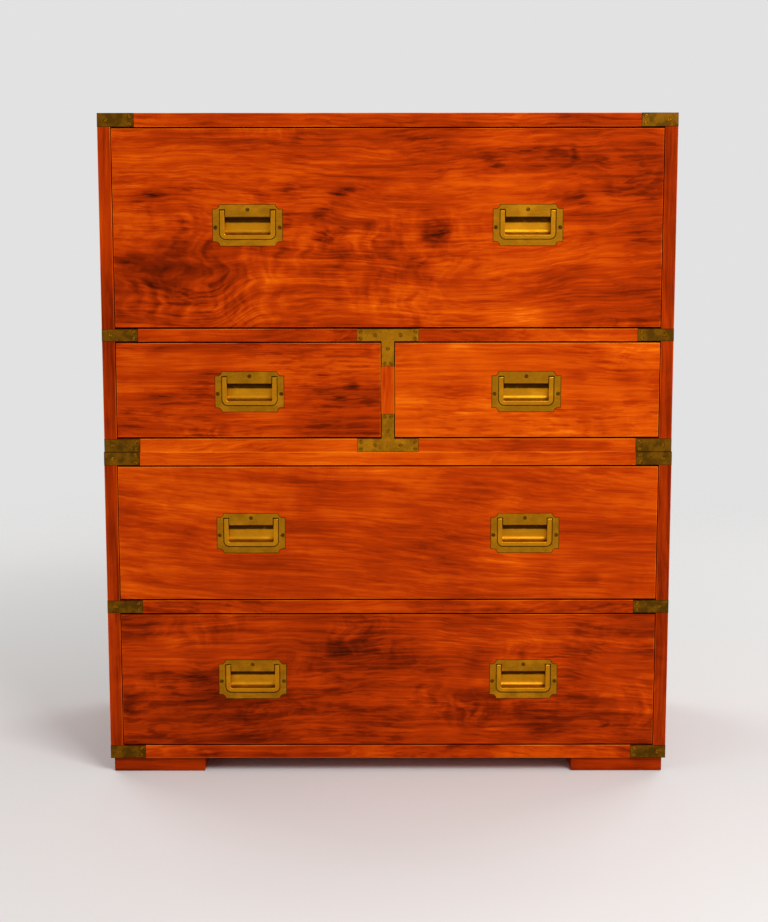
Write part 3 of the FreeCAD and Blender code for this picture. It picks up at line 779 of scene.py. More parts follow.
TIMBERS = {
    "polished_wood": Figure(),
    "brighter_wood": Figure(veins=0.06, dashes=0.06, lift=0.10),
    "darker_wood": Figure(streaks=0.12, veins=0.08, dashes=0.06, clouds=0.15, flames_and_sheen=0.06, wander=0.35,
                          lift=-0.14),
}
LINING_FIGURE = Figure(streaks=0.34, veins=0.30, dashes=0.14, clouds=0.30, flames_and_sheen=0.16, ripple=0.0,
                       wander=0.8)
BACK_FIGURE = Figure(streaks=0.36, veins=0.34, dashes=0.18, clouds=0.34, flames_and_sheen=0.20, ripple=0.0)
FRONT_FIGURES = {
    "deep_drawer": Figure(
        streaks=0.16, veins=0.08, dashes=0.10, clouds=0.16, flames_and_sheen=0.14, ripple=0.14, wander=0.9, slope=-0.03,
        whorls=((-0.0935, 0.899, 0.026),),
        bends=((-0.240, 0.045, 0.045, 0.76, 0.88),),
        smudges=((-0.350, 0.800, 0.085, 0.060, 0.15), (0.410, 0.880, 0.040, 0.120, 0.10),
                 (0.120, 0.765, 0.190, 0.024, -0.14), (-0.040, 0.985, 0.170, 0.030, -0.12),
                 (-0.020, 0.900, 0.050, 0.040, -0.08), (-0.130, 0.800, 0.070, 0.040, -0.08),
                 (-0.120, 0.885, 0.013, 0.011, 0.30), (-0.076, 0.938, 0.018, 0.009, 0.32),
                 (-0.112, 0.914, 0.014, 0.010, 0.24), (0.072, 0.876, 0.018, 0.015, 0.26),
                 (0.082, 0.890, 0.011, 0.013, 0.20), (0.045, 0.828, 0.019, 0.013, 0.26),
                 (0.158, 0.994, 0.012, 0.007, 0.24), (0.216, 1.012, 0.022, 0.006, 0.22),
                 (0.259, 1.001, 0.018, 0.007, 0.28), (0.292, 1.001, 0.009, 0.012, 0.26),
                 (0.350, 0.995, 0.030, 0.005, 0.16), (0.290, 0.934, 0.020, 0.014, 0.22),
                 (0.355, 0.947, 0.014, 0.010, 0.18), (0.316, 0.890, 0.014, 0.016, 0.12),
                 (-0.376, 0.941, 0.030, 0.008, 0.24), (-0.328, 0.960, 0.022, 0.006, 0.20),
                 (-0.400, 0.838, 0.034, 0.020, 0.20), (-0.330, 0.880, 0.020, 0.022, 0.16),
                 (-0.153, 0.951, 0.016, 0.008, 0.20), (-0.280, 0.780, 0.006, 0.024, 0.20),
                 (-0.258, 0.772, 0.005, 0.022, 0.20), (-0.240, 0.766, 0.004, 0.020, 0.16),
                 (-0.276, 0.855, 0.008, 0.020, 0.16), (-0.268, 0.815, 0.006, 0.020, 0.16))),
    "short_drawer_left": Figure(
        streaks=0.15, veins=0.06, dashes=0.15, clouds=0.16, flames_and_sheen=0.12, ripple=0.16, wander=0.3,
        smudges=((-0.106, 0.657, 0.018, 0.006, 0.24), (-0.079, 0.615, 0.012, 0.008, 0.22),
                 (-0.056, 0.635, 0.012, 0.006, 0.18), (-0.379, 0.623, 0.018, 0.006, 0.22),
                 (-0.320, 0.632, 0.020, 0.006, 0.20), (-0.409, 0.601, 0.014, 0.008, 0.20),
                 (-0.378, 0.693, 0.026, 0.006, 0.18))),
    "short_drawer_right": Figure(
        streaks=0.14, veins=0.05, dashes=0.12, clouds=0.18, flames_and_sheen=0.18, ripple=0.08, wander=0.5, lift=0.17,
        smudges=((0.270, 0.607, 0.014, 0.007, 0.22), (0.295, 0.652, 0.012, 0.008, 0.16),
                 (0.378, 0.657, 0.016, 0.018, 0.14))),
    "middle_drawer": Figure(
        streaks=0.14, veins=0.05, dashes=0.06, clouds=0.16, flames_and_sheen=0.12, ripple=0.03, wander=0.5, slope=0.07,
        lift=0.04, smudges=((0.323, 0.332, 0.015, 0.010, 0.26),)),
    "bottom_drawer": Figure(
        streaks=0.15, veins=0.07, dashes=0.11, clouds=0.20, flames_and_sheen=0.10, ripple=0.15, wander=1.0, lift=-0.11,
        whorls=((0.350, 0.090, 0.011),),
        smudges=((0.130, 0.225, 0.100, 0.024, -0.12), (-0.360, 0.110, 0.100, 0.080, 0.10),
                 (-0.071, 0.207, 0.020, 0.014, 0.30), (-0.312, 0.157, 0.022, 0.009, 0.22),
                 (0.121, 0.103, 0.022, 0.010, 0.22), (0.259, 0.062, 0.020, 0.008, 0.18),
                 (-0.095, 0.163, 0.014, 0.008, 0.16), (-0.244, 0.089, 0.020, 0.010, 0.18))),
}


def front_wood(drawer, plank):
    """The wood of one drawer front, with its whorls and smudges at their places on the face."""
    figure = FRONT_FIGURES[drawer].shifted(PLANK_STEP * plank)
    return wood(drawer + "_timber", lambda recipe: object_place(recipe, X, plank), figure, case_stops(),
                FRONT_GLOSS)


def lining_place(recipe):
    """The place in the plank for a drawer's lining, whose grain turns where the back board begins."""
    parts = recipe.node("ShaderNodeSeparateXYZ", (recipe.node("ShaderNodeTexCoord").outputs["Object"],))
    behind = recipe.math("GREATER_THAN", parts.outputs["Y"], DRAWER_BACK_Y)
    places = [object_place(recipe, axis, LINING_PLANK + axis) for axis in (Y, X)]
    return recipe.blend(behind, *places, "VECTOR")


def lining_wood(name, place):
    return wood(name, place, LINING_FIGURE, plain_stops(bpy.context.scene.chest_wood.lining), LINING_GLOSS)


def brass(name, age, rough, edges, cup_highlight=0.0, mottle=0.40):
    """Brass with a film, old blotches and fine scratches; edges are grimy or worn bright, and in the plates'
    cups the grime colour also gives a painted shadow.

    age runs from 0, kept bright by hands, to 1, dark with patina. The cup term is how much brighter
    the back of the cup is painted, a painted highlight where lamps light the hollow, and mottle how strongly
    the blotches show."""
    tones = bpy.context.scene.chest_brass
    recipe = Recipe(name)
    place = recipe.node("ShaderNodeTexCoord").outputs["Object"]
    blotch = recipe.spread(recipe.noise(place, (60.0, 60.0, 60.0), 4.0, 0.66), 0.36, 0.64)
    speck = recipe.spread(recipe.noise(place, (380.0, 380.0, 380.0), 2.0, 0.6), 0.46, 0.72)
    scratch = recipe.spread(recipe.noise(place, (50.0, 900.0, 1300.0), 2.0, 0.7), 0.50, 0.74)
    rubbed = recipe.spread(recipe.noise(place, (26.0, 26.0, 34.0), 2.0, 0.5), 0.50, 0.72)
    dark = recipe.math("ADD", recipe.times(blotch, mottle), 0.8 * age - mottle / 2 - 0.10, clamp=True)
    film = recipe.blend(dark, tones.aged, tones.patina)
    film = recipe.blend(recipe.times(speck, 0.30), film, tones.patina)
    bright = recipe.sum(recipe.times(scratch, 0.12), recipe.times(rubbed, 0.22), 0.45 * (1 - age) - 0.10)
    dull = recipe.sum(rough, recipe.times(blotch, 0.12), recipe.times(scratch, 0.08))
    rim = recipe.node("ShaderNodeAttribute", attribute_name="rim").outputs["Fac"]
    near = recipe.spread(rim, 0.0, 1.0, 1.0, 0.0)
    if edges == "worn":
        bright = recipe.sum(bright, recipe.times(near, 0.55))
    # The back of each cup is painted brighter, a painted highlight where the lamps light it.
    inward = recipe.less(recipe.node("ShaderNodeSeparateXYZ", (place,)).outputs["Y"], FACE_Y)
    painted_cup_highlight = recipe.spread(inward, CUP_DEPTH / 3, CUP_DEPTH / 2, 0.0, cup_highlight)
    bright = recipe.math("ADD", bright, painted_cup_highlight)
    colour = recipe.blend(recipe.math("ADD", bright, 0.0, clamp=True), film, tones.bright)
    # Grime along the outlines; on the plates it also covers the upper part of the cup as a painted shadow.
    if edges == "grimy_and_shaded":
        broken = recipe.spread(recipe.noise(place, (160.0, 160.0, 160.0), 2.0), 0.25, 0.60, 0.62, 1.0)
        grimy_and_shaded = recipe.math("MULTIPLY", recipe.times(near, 1.35), broken, clamp=True)
        colour = recipe.blend(recipe.times(grimy_and_shaded, 0.88), colour, tones.grime_and_shade)
        dull = recipe.sum(dull, recipe.times(grimy_and_shaded, 0.25))
    recipe.put(recipe.shader.inputs["Base Color"], colour)
    recipe.put(recipe.shader.inputs["Roughness"], dull)
    recipe.bump(recipe.sum(recipe.times(scratch, 0.5), recipe.times(blotch, 0.5)), 0.20, 0.05 * MM)
    recipe.own(Metallic=1.0)
    return recipe.material


METALS = {
    # The corner straps are darker than the T straps, partly patina and partly painted shade of the chest's
    # shaded corners.
    "strap_metal": {"age": 1.16, "rough": 0.40, "edges": "grimy_and_shaded"},
    "t_strap_metal": {"age": 0.50, "rough": 0.34, "edges": "grimy_and_shaded", "mottle": 0.85},
    # The strap screws' heads are brighter than their straps, a painted glint inside the grime ring.
    "strap_screw_metal": {"age": 0.40, "rough": 0.28, "edges": "grimy_and_shaded"},
    "plate_metal": {"age": 0.52, "rough": 0.36, "edges": "grimy_and_shaded", "cup_highlight": 0.30},
    "bail_metal": {"age": 0.18, "rough": 0.28, "edges": "worn"},
    "pull_screw_metal": {"age": 0.95, "rough": 0.32, "edges": "grimy_and_shaded"},
}


def metal(name):
    """One of the METALS, made the first time that it is asked for."""
    return bpy.data.materials.get(name) or brass(name, **METALS[name])


def timber(name):
    """One of the TIMBERS, made the first time that it is asked for."""
    return bpy.data.materials.get(name) or wood(name, plank_place, TIMBERS[name], case_stops(), CASE_GLOSS)


# ---- straps and screws -------------------------------------------------------------------
def corner_spots(height, over_top):
    """Places and directions of the screws of a corner strap whose corner is at the origin."""
    middle = height / 2
    spots = []
    for up in (-ARM_SPREAD * height, ARM_SPREAD * height):
        spots.append((Vector((STRAP_ARM - ARM_SCREW, 0, middle + up)), FORWARD))
        spots.append((Vector((0, STRAP_ARM - ARM_SCREW, middle + up)), LEFTWARD))
    spots.append((Vector((FRONT_SCREW, 0, middle)), FORWARD))
    spots.append((Vector((0, SIDE_SCREW, middle)), LEFTWARD))
    if over_top:
        spots += [(Vector((along, back, height)), UPWARD) for along, back in TOP_SCREWS]
    return spots


def corner_blank(height, over_top, room=0.0):
    """A strap round the front left corner, before its holes. With room it is the recess for one."""
    out = OVER if room else 0.0
    low, high = -room, height + (out if over_top else room)
    arm, thick, top_arm = STRAP_ARM + room, STRAP_T + room, TOP_ARM_W + room
    strap = block("strap", (-out, -out, low), (arm, arm, high))
    ceiling = height - thick if over_top else height + 2 * OVER
    cut(strap, block("inside", (thick, thick, low - OVER), (arm + OVER, arm + OVER, ceiling)))
    if over_top:
        cut(strap, block("over", (top_arm, top_arm, height / 2), (arm + OVER, arm + OVER, height + 2 * OVER)))
    tidy_flats(strap)
    return strap


def t_spots(bar_height, rise):
    """Screws of a T strap whose crossbar is centred on the origin."""
    end = rise * (bar_height / 2 + T_STEM - STEM_END)
    spots = [(side * (T_BAR / 2 - BAR_SCREW), up) for side in (-1, 1) for up in (-BAR_SCREW, BAR_SCREW)]
    spots += [(-BAR_INNER, 0), (BAR_INNER, 0), (0, rise * (bar_height / 2 + STEM_SCREW))]
    spots += [(-STEM_SPREAD, end), (STEM_SPREAD, end)]
    return [(Vector((x, 0, z)), FORWARD) for x, z in spots]


def t_blank(bar_height, rise, room=0.0):
    """A T strap whose crossbar is centred on the origin. With room it is the recess for one."""
    front = -OVER if room else 0.0
    half, stem_half, top = T_BAR / 2 + room, DIVIDER_W / 2 + room, bar_height / 2 + room
    end = bar_height / 2 + T_STEM + room
    strap = block("strap", (-half, front, -rise * top), (half, STRAP_T + room, rise * end))
    for side in (-1, 1):
        cut(strap, block("beside", (side * stem_half, -2 * OVER, rise * top),
                         (side * (half + OVER), STRAP_T + 2 * OVER, rise * (end + OVER))))
    tidy_flats(strap)
    return strap


def facing(place, outward, turn):
    """The matrix that sets something modelled along +Z on a surface, turned about its own axis."""
    stand = UPWARD.rotation_difference(outward).to_matrix().to_4x4()
    return Matrix.Translation(place) @ stand @ Matrix.Rotation(turn, 4, "Z")


def screw_body(name, play=0.0):
    """A countersunk screw, or the hole for one, with its head's face at the origin."""
    bpy.ops.object.select_all(action="DESELECT")
    bpy.ops.mesh.primitive_circle_add(vertices=SCREW_SIDES, radius=HEAD_R + play, fill_type="NGON")
    screw = bpy.context.object
    screw.name = name
    open_with(screw, lambda face: True, "FACE")
    steps = ((HEAD_H, (SHANK_R + play) / (HEAD_R + play)), (SCREW_L - HEAD_H - TIP_L, 1.0),
             (TIP_L, TIP_SHARE))
    level = 0.0
    for down, narrower in steps:
        level -= down
        bpy.ops.mesh.extrude_region_move(TRANSFORM_OT_translate={"value": (0, 0, -down)})
        bpy.ops.transform.resize(value=(narrower, narrower, 1), center_override=(0, 0, level))
    bpy.ops.mesh.select_all(action="SELECT")
    bpy.ops.mesh.normals_make_consistent(inside=False)
    close()
    return screw


def screw_master():
    """A slotted screw with a softened rim, which every screw is copied from."""
    screw = screw_body("screw")
    round_edges(screw, lambda edge: at(edge, Z, 0), HEAD_EDGE, segments=2)
    cut(screw, block("slot", (-2 * HEAD_R, -SLOT_W / 2, -SLOT_H), (2 * HEAD_R, SLOT_W / 2, OVER)))
    lines = outline_of(screw, lambda edge: at(edge, Z, 0))
    for n in range(SCREW_SIDES):
        turn = math.tau * n / SCREW_SIDES
        place = (HEAD_R - HEAD_EDGE / 2) * Vector((math.cos(turn), math.sin(turn), 0))
        lines.append((place, place))
    frame_flats(screw, [(Z, 0.0)], SCREW_RIM)
    lay_rim(screw, lines, SCREW_RIM)
    return screw


def sink(strap, spots):
    """Countersinks the strap for its screws."""
    hole = screw_body("hole", SINK_PLAY)
    holes = [copy_of(hole, "hole", facing(place + outward * HOLE_CLEAR, outward, 0))
             for place, outward in spots]
    discard(hole)
    return cut(strap, join("holes", holes))


class Kind(NamedTuple):
    """What straps have in common; rise is 1 where the stem of a T stands up and -1 where it hangs."""

    height: float
    form: str
    rise: int = 1


class Strap(NamedTuple):
    """One strap; way carries it from the origin to its corner."""

    name: str
    kind: Kind
    way: Matrix


def levels(case):
    """The heights of a case's boards and rail: bottom board, rail, top board."""
    nodes = {"foot": "_bottom_board", "rail": "_rail", "head": "_top_board"}
    return {level: tuple(corner.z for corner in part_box(case + node)) for level, node in nodes.items()}


def straps(case):
    """Every strap of one case. The rail has none at the back."""
    made = []
    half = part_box(case + "_side_right")[1].x
    for level, (low, high) in levels(case).items():
        over_top = case == "upper" and level == "head"
        kind = Kind(round(high - low, 5), "corner over top" if over_top else "corner")
        for side, hand in ((-1, "left"), (1, "right")):
            for end, edge in ((-1, CASE_Y), (1, BACK_Y)):
                if level == "rail" and end == 1:
                    continue
                way = Matrix.Translation((side * half, edge, low)) @ Matrix.Diagonal((-side, -end, 1, 1))
                place = "front" if end < 0 else "back"
                made.append(Strap(f"{case}_{level}_strap_{place}_{hand}", kind, way))
    if case == "upper":
        for level, rise in (("rail", -1), ("foot", 1)):
            low, high = levels(case)[level]
            way = Matrix.Translation((0, CASE_Y, (low + high) / 2))
            made.append(Strap(f"upper_{level}_t_strap", Kind(round(high - low, 5), "t", rise), way))
    return made


def strap_blank(kind, room=0.0):
    if kind.form == "t":
        return t_blank(kind.height, kind.rise, room)
    return corner_blank(kind.height, kind.form == "corner over top", room)


def strap_spots(kind):
    if kind.form == "t":
        return t_spots(kind.height, kind.rise)
    return corner_spots(kind.height, kind.form == "corner over top")


def strap_planes(kind):
    """The flat faces of a strap that show, each as its axis and its value."""
    planes = {"t": [(Y, 0.0)], "corner": [(Y, 0.0), (X, 0.0)],
              "corner over top": [(Y, 0.0), (X, 0.0), (Z, kind.height)]}
    return planes[kind.form]


def strap_master(kind, edge):
    """A strap with its holes, and with its outlines marked for the grime."""
    planes = strap_planes(kind)
    strap = strap_blank(kind)
    lines = outline_of(strap, lambda side: sum(at(side, *plane) for plane in planes) == 1)
    frame_flats(strap, planes, RIM_W)
    soften(strap, edge)
    sink(strap, strap_spots(kind))
    lay_rim(strap, lines, RIM_W)
    return smooth(strap)


def strap_recess(case):
    """The room of all the straps of a case as one tool to cut the woodwork with."""
    blanks = {}
    pieces = []
    for strap in straps(case):
        if strap.kind not in blanks:
            blanks[strap.kind] = strap_blank(strap.kind, FIT)
        pieces.append(copy_of(blanks[strap.kind], "recess", strap.way))
    discard(*blanks.values())
    return join("recess", pieces)


class CHEST_OT_straps(bpy.types.Operator):
    """Make the brass straps at the corners and on the divider"""

    bl_idname = "chest.straps"
    bl_label = "Brass straps"

    def execute(self, context):
        masters = {}
        for case in CASES:
            for strap in straps(case):
                if strap.kind not in masters:
                    masters[strap.kind] = strap_master(strap.kind, context.scene.chest_brass.plate_edge)
                piece = copy_of(masters[strap.kind], strap.name, strap.way)
                finish = metal("t_strap_metal" if strap.kind.form == "t" else "strap_metal")
                hand_over(piece, case + "_case", finish, "brass", case + "_brackets")
        discard(*masters.values())
        return {"FINISHED"}


class CHEST_OT_strap_screws(bpy.types.Operator):
    """Make the slotted screws of the straps, each slot turned its own way"""

    bl_idname = "chest.strap_screws"
    bl_label = "Strap screws"

    def execute(self, context):
        master = screw_master()
        for case in CASES:
            pieces = []
            for strap in straps(case):
                turned = strap.way.to_3x3()
                for place, outward in strap_spots(strap.kind):
                    spot = strap.way @ (place - outward * HEAD_SUNK)
                    way = facing(spot, turned @ outward, TURN_STEP * len(pieces))
                    pieces.append(copy_of(master, "screw", way))
            piece = smooth(join(case + "_strap_screws", pieces))
            hand_over(piece, case + "_case", metal("strap_screw_metal"), "screw_brass",
                      case + "_bracket_screws")
        discard(master)
        return {"FINISHED"}


# ---- the cases ---------------------------------------------------------------------------
def pin_comb(root):
    """The pins at one end of a board as a tool, standing clear of it all round.

    The board's inner face is at z 0, its outer face at BOARD_T, and the pins cross x 0 to SIDE_T.
    root is how far below the inner face they start."""
    first = CASE_Y + END_PIN
    step = (BACK_Y - END_PIN - first) / CASE_TAILS
    row = [(first + step * n, PIN_HALF) for n in range(1, CASE_TAILS)]
    row += [(CASE_Y, END_PIN), (BACK_Y, END_PIN)]
    pins = []
    for y, half in row:
        pin = block("pin", (-OVER, y - half, -root), (SIDE_T + 2 * OVER, y + half, BOARD_T + OVER))
        for z in (-root, BOARD_T + OVER):
            wide = half + (BOARD_T - z) * DOVETAIL_SLOPE
            open_with(pin, lambda face: at(face, Z, z), "FACE")
            bpy.ops.transform.resize(value=(1, wide / half, 1), center_override=(0, y, z))
            close()
        pins.append(pin)
    return join("pins", pins)


def half_inside(case):
    """Half the width between the sides of a case."""
    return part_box(case + "_side_right")[0].x


def end_ways(case):
    """The matrices that carry the comb to the four corners of a case."""
    inner = half_inside(case)
    marks = levels(case)
    return {(end, side): Matrix.Translation((side * inner, 0, marks[end][1 if end == "foot" else 0]))
            @ Matrix.Diagonal((side, 1, 1 if end == "head" else -1, 1))
            for end in ("head", "foot") for side in (-1, 1)}


def rebate(case):
    low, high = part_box(case + "_back_boards")
    return block("rebate", low, high + Vector((0, OVER, 0)))


def tenon(case, side, reach):
    """The stub tenon of the rail in one side; reach is how far it is taken back into the rail."""
    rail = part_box(case + "_rail")
    inner = half_inside(case)
    middle = (rail[0].z + rail[1].z) / 2
    return block("tenon", (side * (inner - reach), CASE_Y + TENON_L, middle - TENON_T / 2),
                 (side * (inner + TENON_L), RAIL_BACK - TENON_L, middle + TENON_T / 2))


def post_tenons():
    """The divider's stub tenons in the rail above and the board below, with a bit of the divider."""
    ends = ((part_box("upper_rail")[0].z, 1, TENON_L / 2), (levels("upper")["foot"][1], -1, TENON_L))
    return [block("tenon", (-TENON_T / 2, CASE_Y + TENON_L, level - way * OVER),
                  (TENON_T / 2, RAIL_BACK - TENON_L, level + way * length)) for level, way, length in ends]


def dowel_holes(case):
    """The room of the locating dowels where the two cases meet."""
    level = levels("lower")["head"][1]
    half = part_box("lower_side_right")[1].x
    play = DOWEL_PLAY if case == "upper" else 0.0
    bottom, top = level - DOWEL_STANDS, level + OVER
    if case == "upper":
        bottom, top = level - OVER, level + DOWEL_STANDS + OVER
    return [rod("hole", (side * (half - DOWEL_INSET), y, (bottom + top) / 2), Z, DOWEL_R + play, top - bottom)
            for side in (-1, 1) for y in (CASE_Y + DOWEL_INSET, BACK_Y - DOWEL_INSET)]


def long_board(case, end):
    """A top or bottom board with eased edges and a row of pins at each end."""
    low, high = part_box(f"{case}_{'top' if end == 'head' else 'bottom'}_board")
    arris = bpy.context.scene.chest_wood.case_arris
    outer = high.z if end == "head" else low.z
    inner = half_inside(case)
    board = block(f"{case}_{end}_board", low, high)
    round_edges(board, lambda edge: at(edge, Z, outer) or at(edge, Y, low.y), arris)
    comb = pin_comb(2 * OVER)
    for side in (-1, 1):
        waste = block("waste", (side * inner, low.y - OVER, low.z - OVER),
                      (side * (high.x + OVER), high.y + OVER, high.z + OVER))
        cut(waste, copy_of(comb, "pins", end_ways(case)[end, side]))
        cut(board, waste)
    discard(comb)
    return cut(board, rebate(case))


def side_board(case, side, hand):
    """A side with eased edges, cut for the pins of the boards above and below and the rail's tenon."""
    low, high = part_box(f"{case}_side_{hand}")
    arris = bpy.context.scene.chest_wood.case_arris
    outer = high.x if side > 0 else low.x
    board = block(f"{case}_{hand}_side", low, high)
    round_edges(board, lambda edge: at(edge, X, outer) or at(edge, Y, low.y), arris)
    comb = pin_comb(0.0)
    cut(board, copy_of(comb, "pins", end_ways(case)["head", side]), moved(comb, end_ways(case)["foot", side]))
    return cut(board, rebate(case), tenon(case, side, OVER))


class CHEST_OT_case_boards(bpy.types.Operator):
    """Make the tops, bottoms and sides of both cases, dovetailed together and let in for the straps"""

    bl_idname = "chest.case_boards"
    bl_label = "Case boards"

    def execute(self, context):
        plank = 1
        arris = context.scene.chest_wood.case_arris
        for case in CASES:
            recess = strap_recess(case)
            boards = [(long_board(case, "head"), X, "top_board"),
                      (long_board(case, "foot"), X, "bottom_board"),
                      (side_board(case, -1, "left"), Z, "side_left"),
                      (side_board(case, 1, "right"), Z, "side_right")]
            for board, axis, node in boards:
                meets = (case, node) in (("lower", "top_board"), ("upper", "bottom_board"))
                finish = "darker_wood" if axis == Z else "brighter_wood" if meets else "polished_wood"
                cut(board, recess, keep=True)
                if (case, node) == ("upper", "bottom_board"):
                    cut(board, *post_tenons())
                tidy_flats(board)
                if meets:
                    cut(board, *dowel_holes(case))
                lay_grain(board, axis, plank)
                lay_arris_sheen(board, CASE_Y, arris)
                hand_over(board, case + "_case", timber(finish), "case_wood", f"{case}_{node}")
                plank += 1
            discard(recess)
        return {"FINISHED"}


class CHEST_OT_rails(bpy.types.Operator):
    """Make the rails between the drawers and the divider of the short drawers"""

    bl_idname = "chest.rails"
    bl_label = "Rails and divider"

    def execute(self, context):
        arris = context.scene.chest_wood.case_arris
        plank = RAIL_PLANK
        for case in CASES:
            recess = strap_recess(case)
            inner = half_inside(case)
            low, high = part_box(case + "_rail")
            rail = block(case + "_cross_rail", (-inner, low.y, low.z), (inner, high.y, high.z))
            fuse(rail, tenon(case, -1, TENON_L), tenon(case, 1, TENON_L))
            made = [(rail, X, "rail")]
            if case == "upper":
                base = levels("upper")["foot"][1]
                post = block("upper_post", (-DIVIDER_W / 2, CASE_Y, base), (DIVIDER_W / 2, RAIL_BACK, low.z))
                made.append((post, Z, "divider"))
            for piece, axis, node in made:
                round_edges(piece, lambda edge: at(edge, Y, CASE_Y) and runs(edge, axis), arris)
                cut(piece, recess, keep=True)
                if node == "rail":
                    cut(piece, node_tool(case + "_dust_panel"))
                if node == "divider":
                    fuse(piece, *post_tenons())
                elif case == "upper":
                    cut(piece, *post_tenons())
                tidy_flats(piece)
                lay_grain(piece, axis, plank)
                lay_arris_sheen(piece, CASE_Y, arris)
                finish = timber("brighter_wood" if node == "divider" else "polished_wood")
                hand_over(piece, case + "_case", finish, "case_wood", f"{case}_{node}")
                plank += 1
            discard(recess)
        return {"FINISHED"}


class CHEST_OT_backs(bpy.types.Operator):
    """Make the back boards of both cases, each with chamfered edges"""

    bl_idname = "chest.backs"
    bl_label = "Back boards"

    def execute(self, context):
        sizes = context.scene.chest_wood
        finish = wood("back_timber", plank_place, BACK_FIGURE, plain_stops(sizes.back), BACK_GLOSS)
        for case in CASES:
            recess = strap_recess(case)
            low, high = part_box(case + "_back_boards")
            wide = (high.x - low.x + BACK_BOARD_GAP) / BACK_BOARDS
            boards = []
            for n in range(BACK_BOARDS):
                x = low.x + wide * n
                board = block("board", (x, low.y, low.z), (x + wide - BACK_BOARD_GAP, high.y, high.z))
                round_edges(board, lambda edge: at(edge, Y, high.y) and runs(edge, Z), sizes.back_arris,
                            segments=1)
                cut(board, recess, keep=True)
                lay_grain(board, Z, BACK_PLANK + n + BACK_BOARDS * CASES.index(case))
                boards.append(board)
            discard(recess)
            piece = join(case + "_back_planks", boards)
            hand_over(piece, case + "_case", finish, "back_wood", case + "_back_boards")
        return {"FINISHED"}


class CHEST_OT_feet(bpy.types.Operator):
    """Make the four block feet"""

    bl_idname = "chest.feet"
    bl_label = "Feet"

    def execute(self, context):
        sizes = context.scene.chest_wood
        low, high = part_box("feet")
        feet = []
        for n, (side, end) in enumerate(((-1, -1), (1, -1), (-1, 1), (1, 1))):
            x = low.x if side < 0 else high.x
            y = low.y if end < 0 else high.y
            foot = block("foot", (x, y, low.z), (x - side * FOOT_W, y - end * FOOT_D, high.z))
            round_edges(foot, lambda edge: runs(edge, Z), sizes.foot_arris)
            round_edges(foot, lambda edge: at(edge, Z, low.z), sizes.foot_chamfer, segments=2)
            lay_grain(foot, X, FOOT_PLANK + n)
            feet.append(foot)
        piece = join("block_feet", feet)
        hand_over(piece, "lower_case", timber("darker_wood"), "case_wood", "feet")
        return {"FINISHED"}


# ---- pulls -------------------------------------------------------------------------------
def plate_outline(name, grow, y0, y1):
    """The plate with its notched corners; grow makes the recess that it lies in."""
    half_w, half_h = PLATE_W / 2, PLATE_H / 2
    radius = NOTCH_R - grow
    plate = block(name, (-half_w - grow, y0, -half_h - grow), (half_w + grow, y1, half_h + grow))
    for side in (-1, 1):
        for up in (-1, 1):
            x, z = side * (half_w - NOTCH_SHOULDER - radius), up * (half_h - radius)
            notch = block("notch", (x, y0 - OVER, z),
                          (side * (half_w + 2 * OVER), y1 + OVER, up * (half_h + 2 * OVER)))
            round_edges(notch, lambda edge: runs(edge, Y) and at(edge, X, x) and at(edge, Z, z), radius,
                        segments=8)
            cut(plate, notch)
    return plate


def casting(grow, y0):
    """What stands behind the plate: the yoke round the bail's channel, and the cup."""
    deep = BAIL_T + BAIL_SINK + BAIL_PLAY + CHANNEL_WALL + grow
    wide = BAIL_HALF_W + BAIL_PLAY + CHANNEL_WALL + grow
    top = BAIL_TOP + BAIL_PLAY + CHANNEL_WALL + grow
    bottom = BAIL_BOTTOM - BAIL_PLAY - CHANNEL_WALL - grow
    cup_wide = CUP_HALF_W + CUP_WALL + grow
    between = CHANNEL_INNER - grow
    yoke = block("yoke", (-wide, y0, bottom), (wide, deep, top))
    cut(yoke, block("between", (-between, y0 - OVER, CUP_BOTTOM), (between, deep + OVER, top + OVER)))
    return fuse(yoke, block("cup", (-cup_wide, y0 + 2 * FIT, CUP_BOTTOM - CUP_WALL - grow),
                            (cup_wide, CUP_DEPTH + CUP_WALL + grow, CUP_TOP + CUP_WALL + grow)))


def pull_pocket():
    """The room in the drawer front for one pull, with the pull's middle at the origin."""
    pocket = plate_outline("pocket", POCKET_PLAY, -OVER, PLATE_T)
    return fuse(pocket, casting(POCKET_PLAY, PLATE_T / 2))


def u_block(grow, y0, y1, top):
    """The outline of the bail as a solid block with rounded lower corners."""
    half = BAIL_HALF_W + grow
    bottom = BAIL_BOTTOM - grow
    piece = block("u", (-half, y0, bottom), (half, y1, top))
    return round_edges(piece, lambda edge: runs(edge, Y) and at(edge, Z, bottom), BAIL_CORNER + grow,
                       segments=10)


def hinge_pins(play=0.0, longer=0.0):
    """The two pins that the bail turns on."""
    length = BAIL_HALF_W + BAIL_PLAY + CHANNEL_WALL - CHANNEL_INNER - PIN_START + longer
    middle = CHANNEL_INNER + PIN_START + length / 2
    return [rod("pin", (side * middle, PIVOT_Y, PIVOT_Z), X, PIN_R + play, length, PIN_SIDES)
            for side in (-1, 1)]


def screw_spots():
    return [(Vector((x, 0, z)), FORWARD) for x, z in PLATE_SCREWS]


def in_cup(place):
    """True for a place on the inner face of the cup."""
    return (abs(place.x) < CUP_HALF_W + TOUCH and abs(place.y) < CUP_DEPTH + TOUCH
            and CUP_BOTTOM - TOUCH < place.z < CUP_TOP + TOUCH)


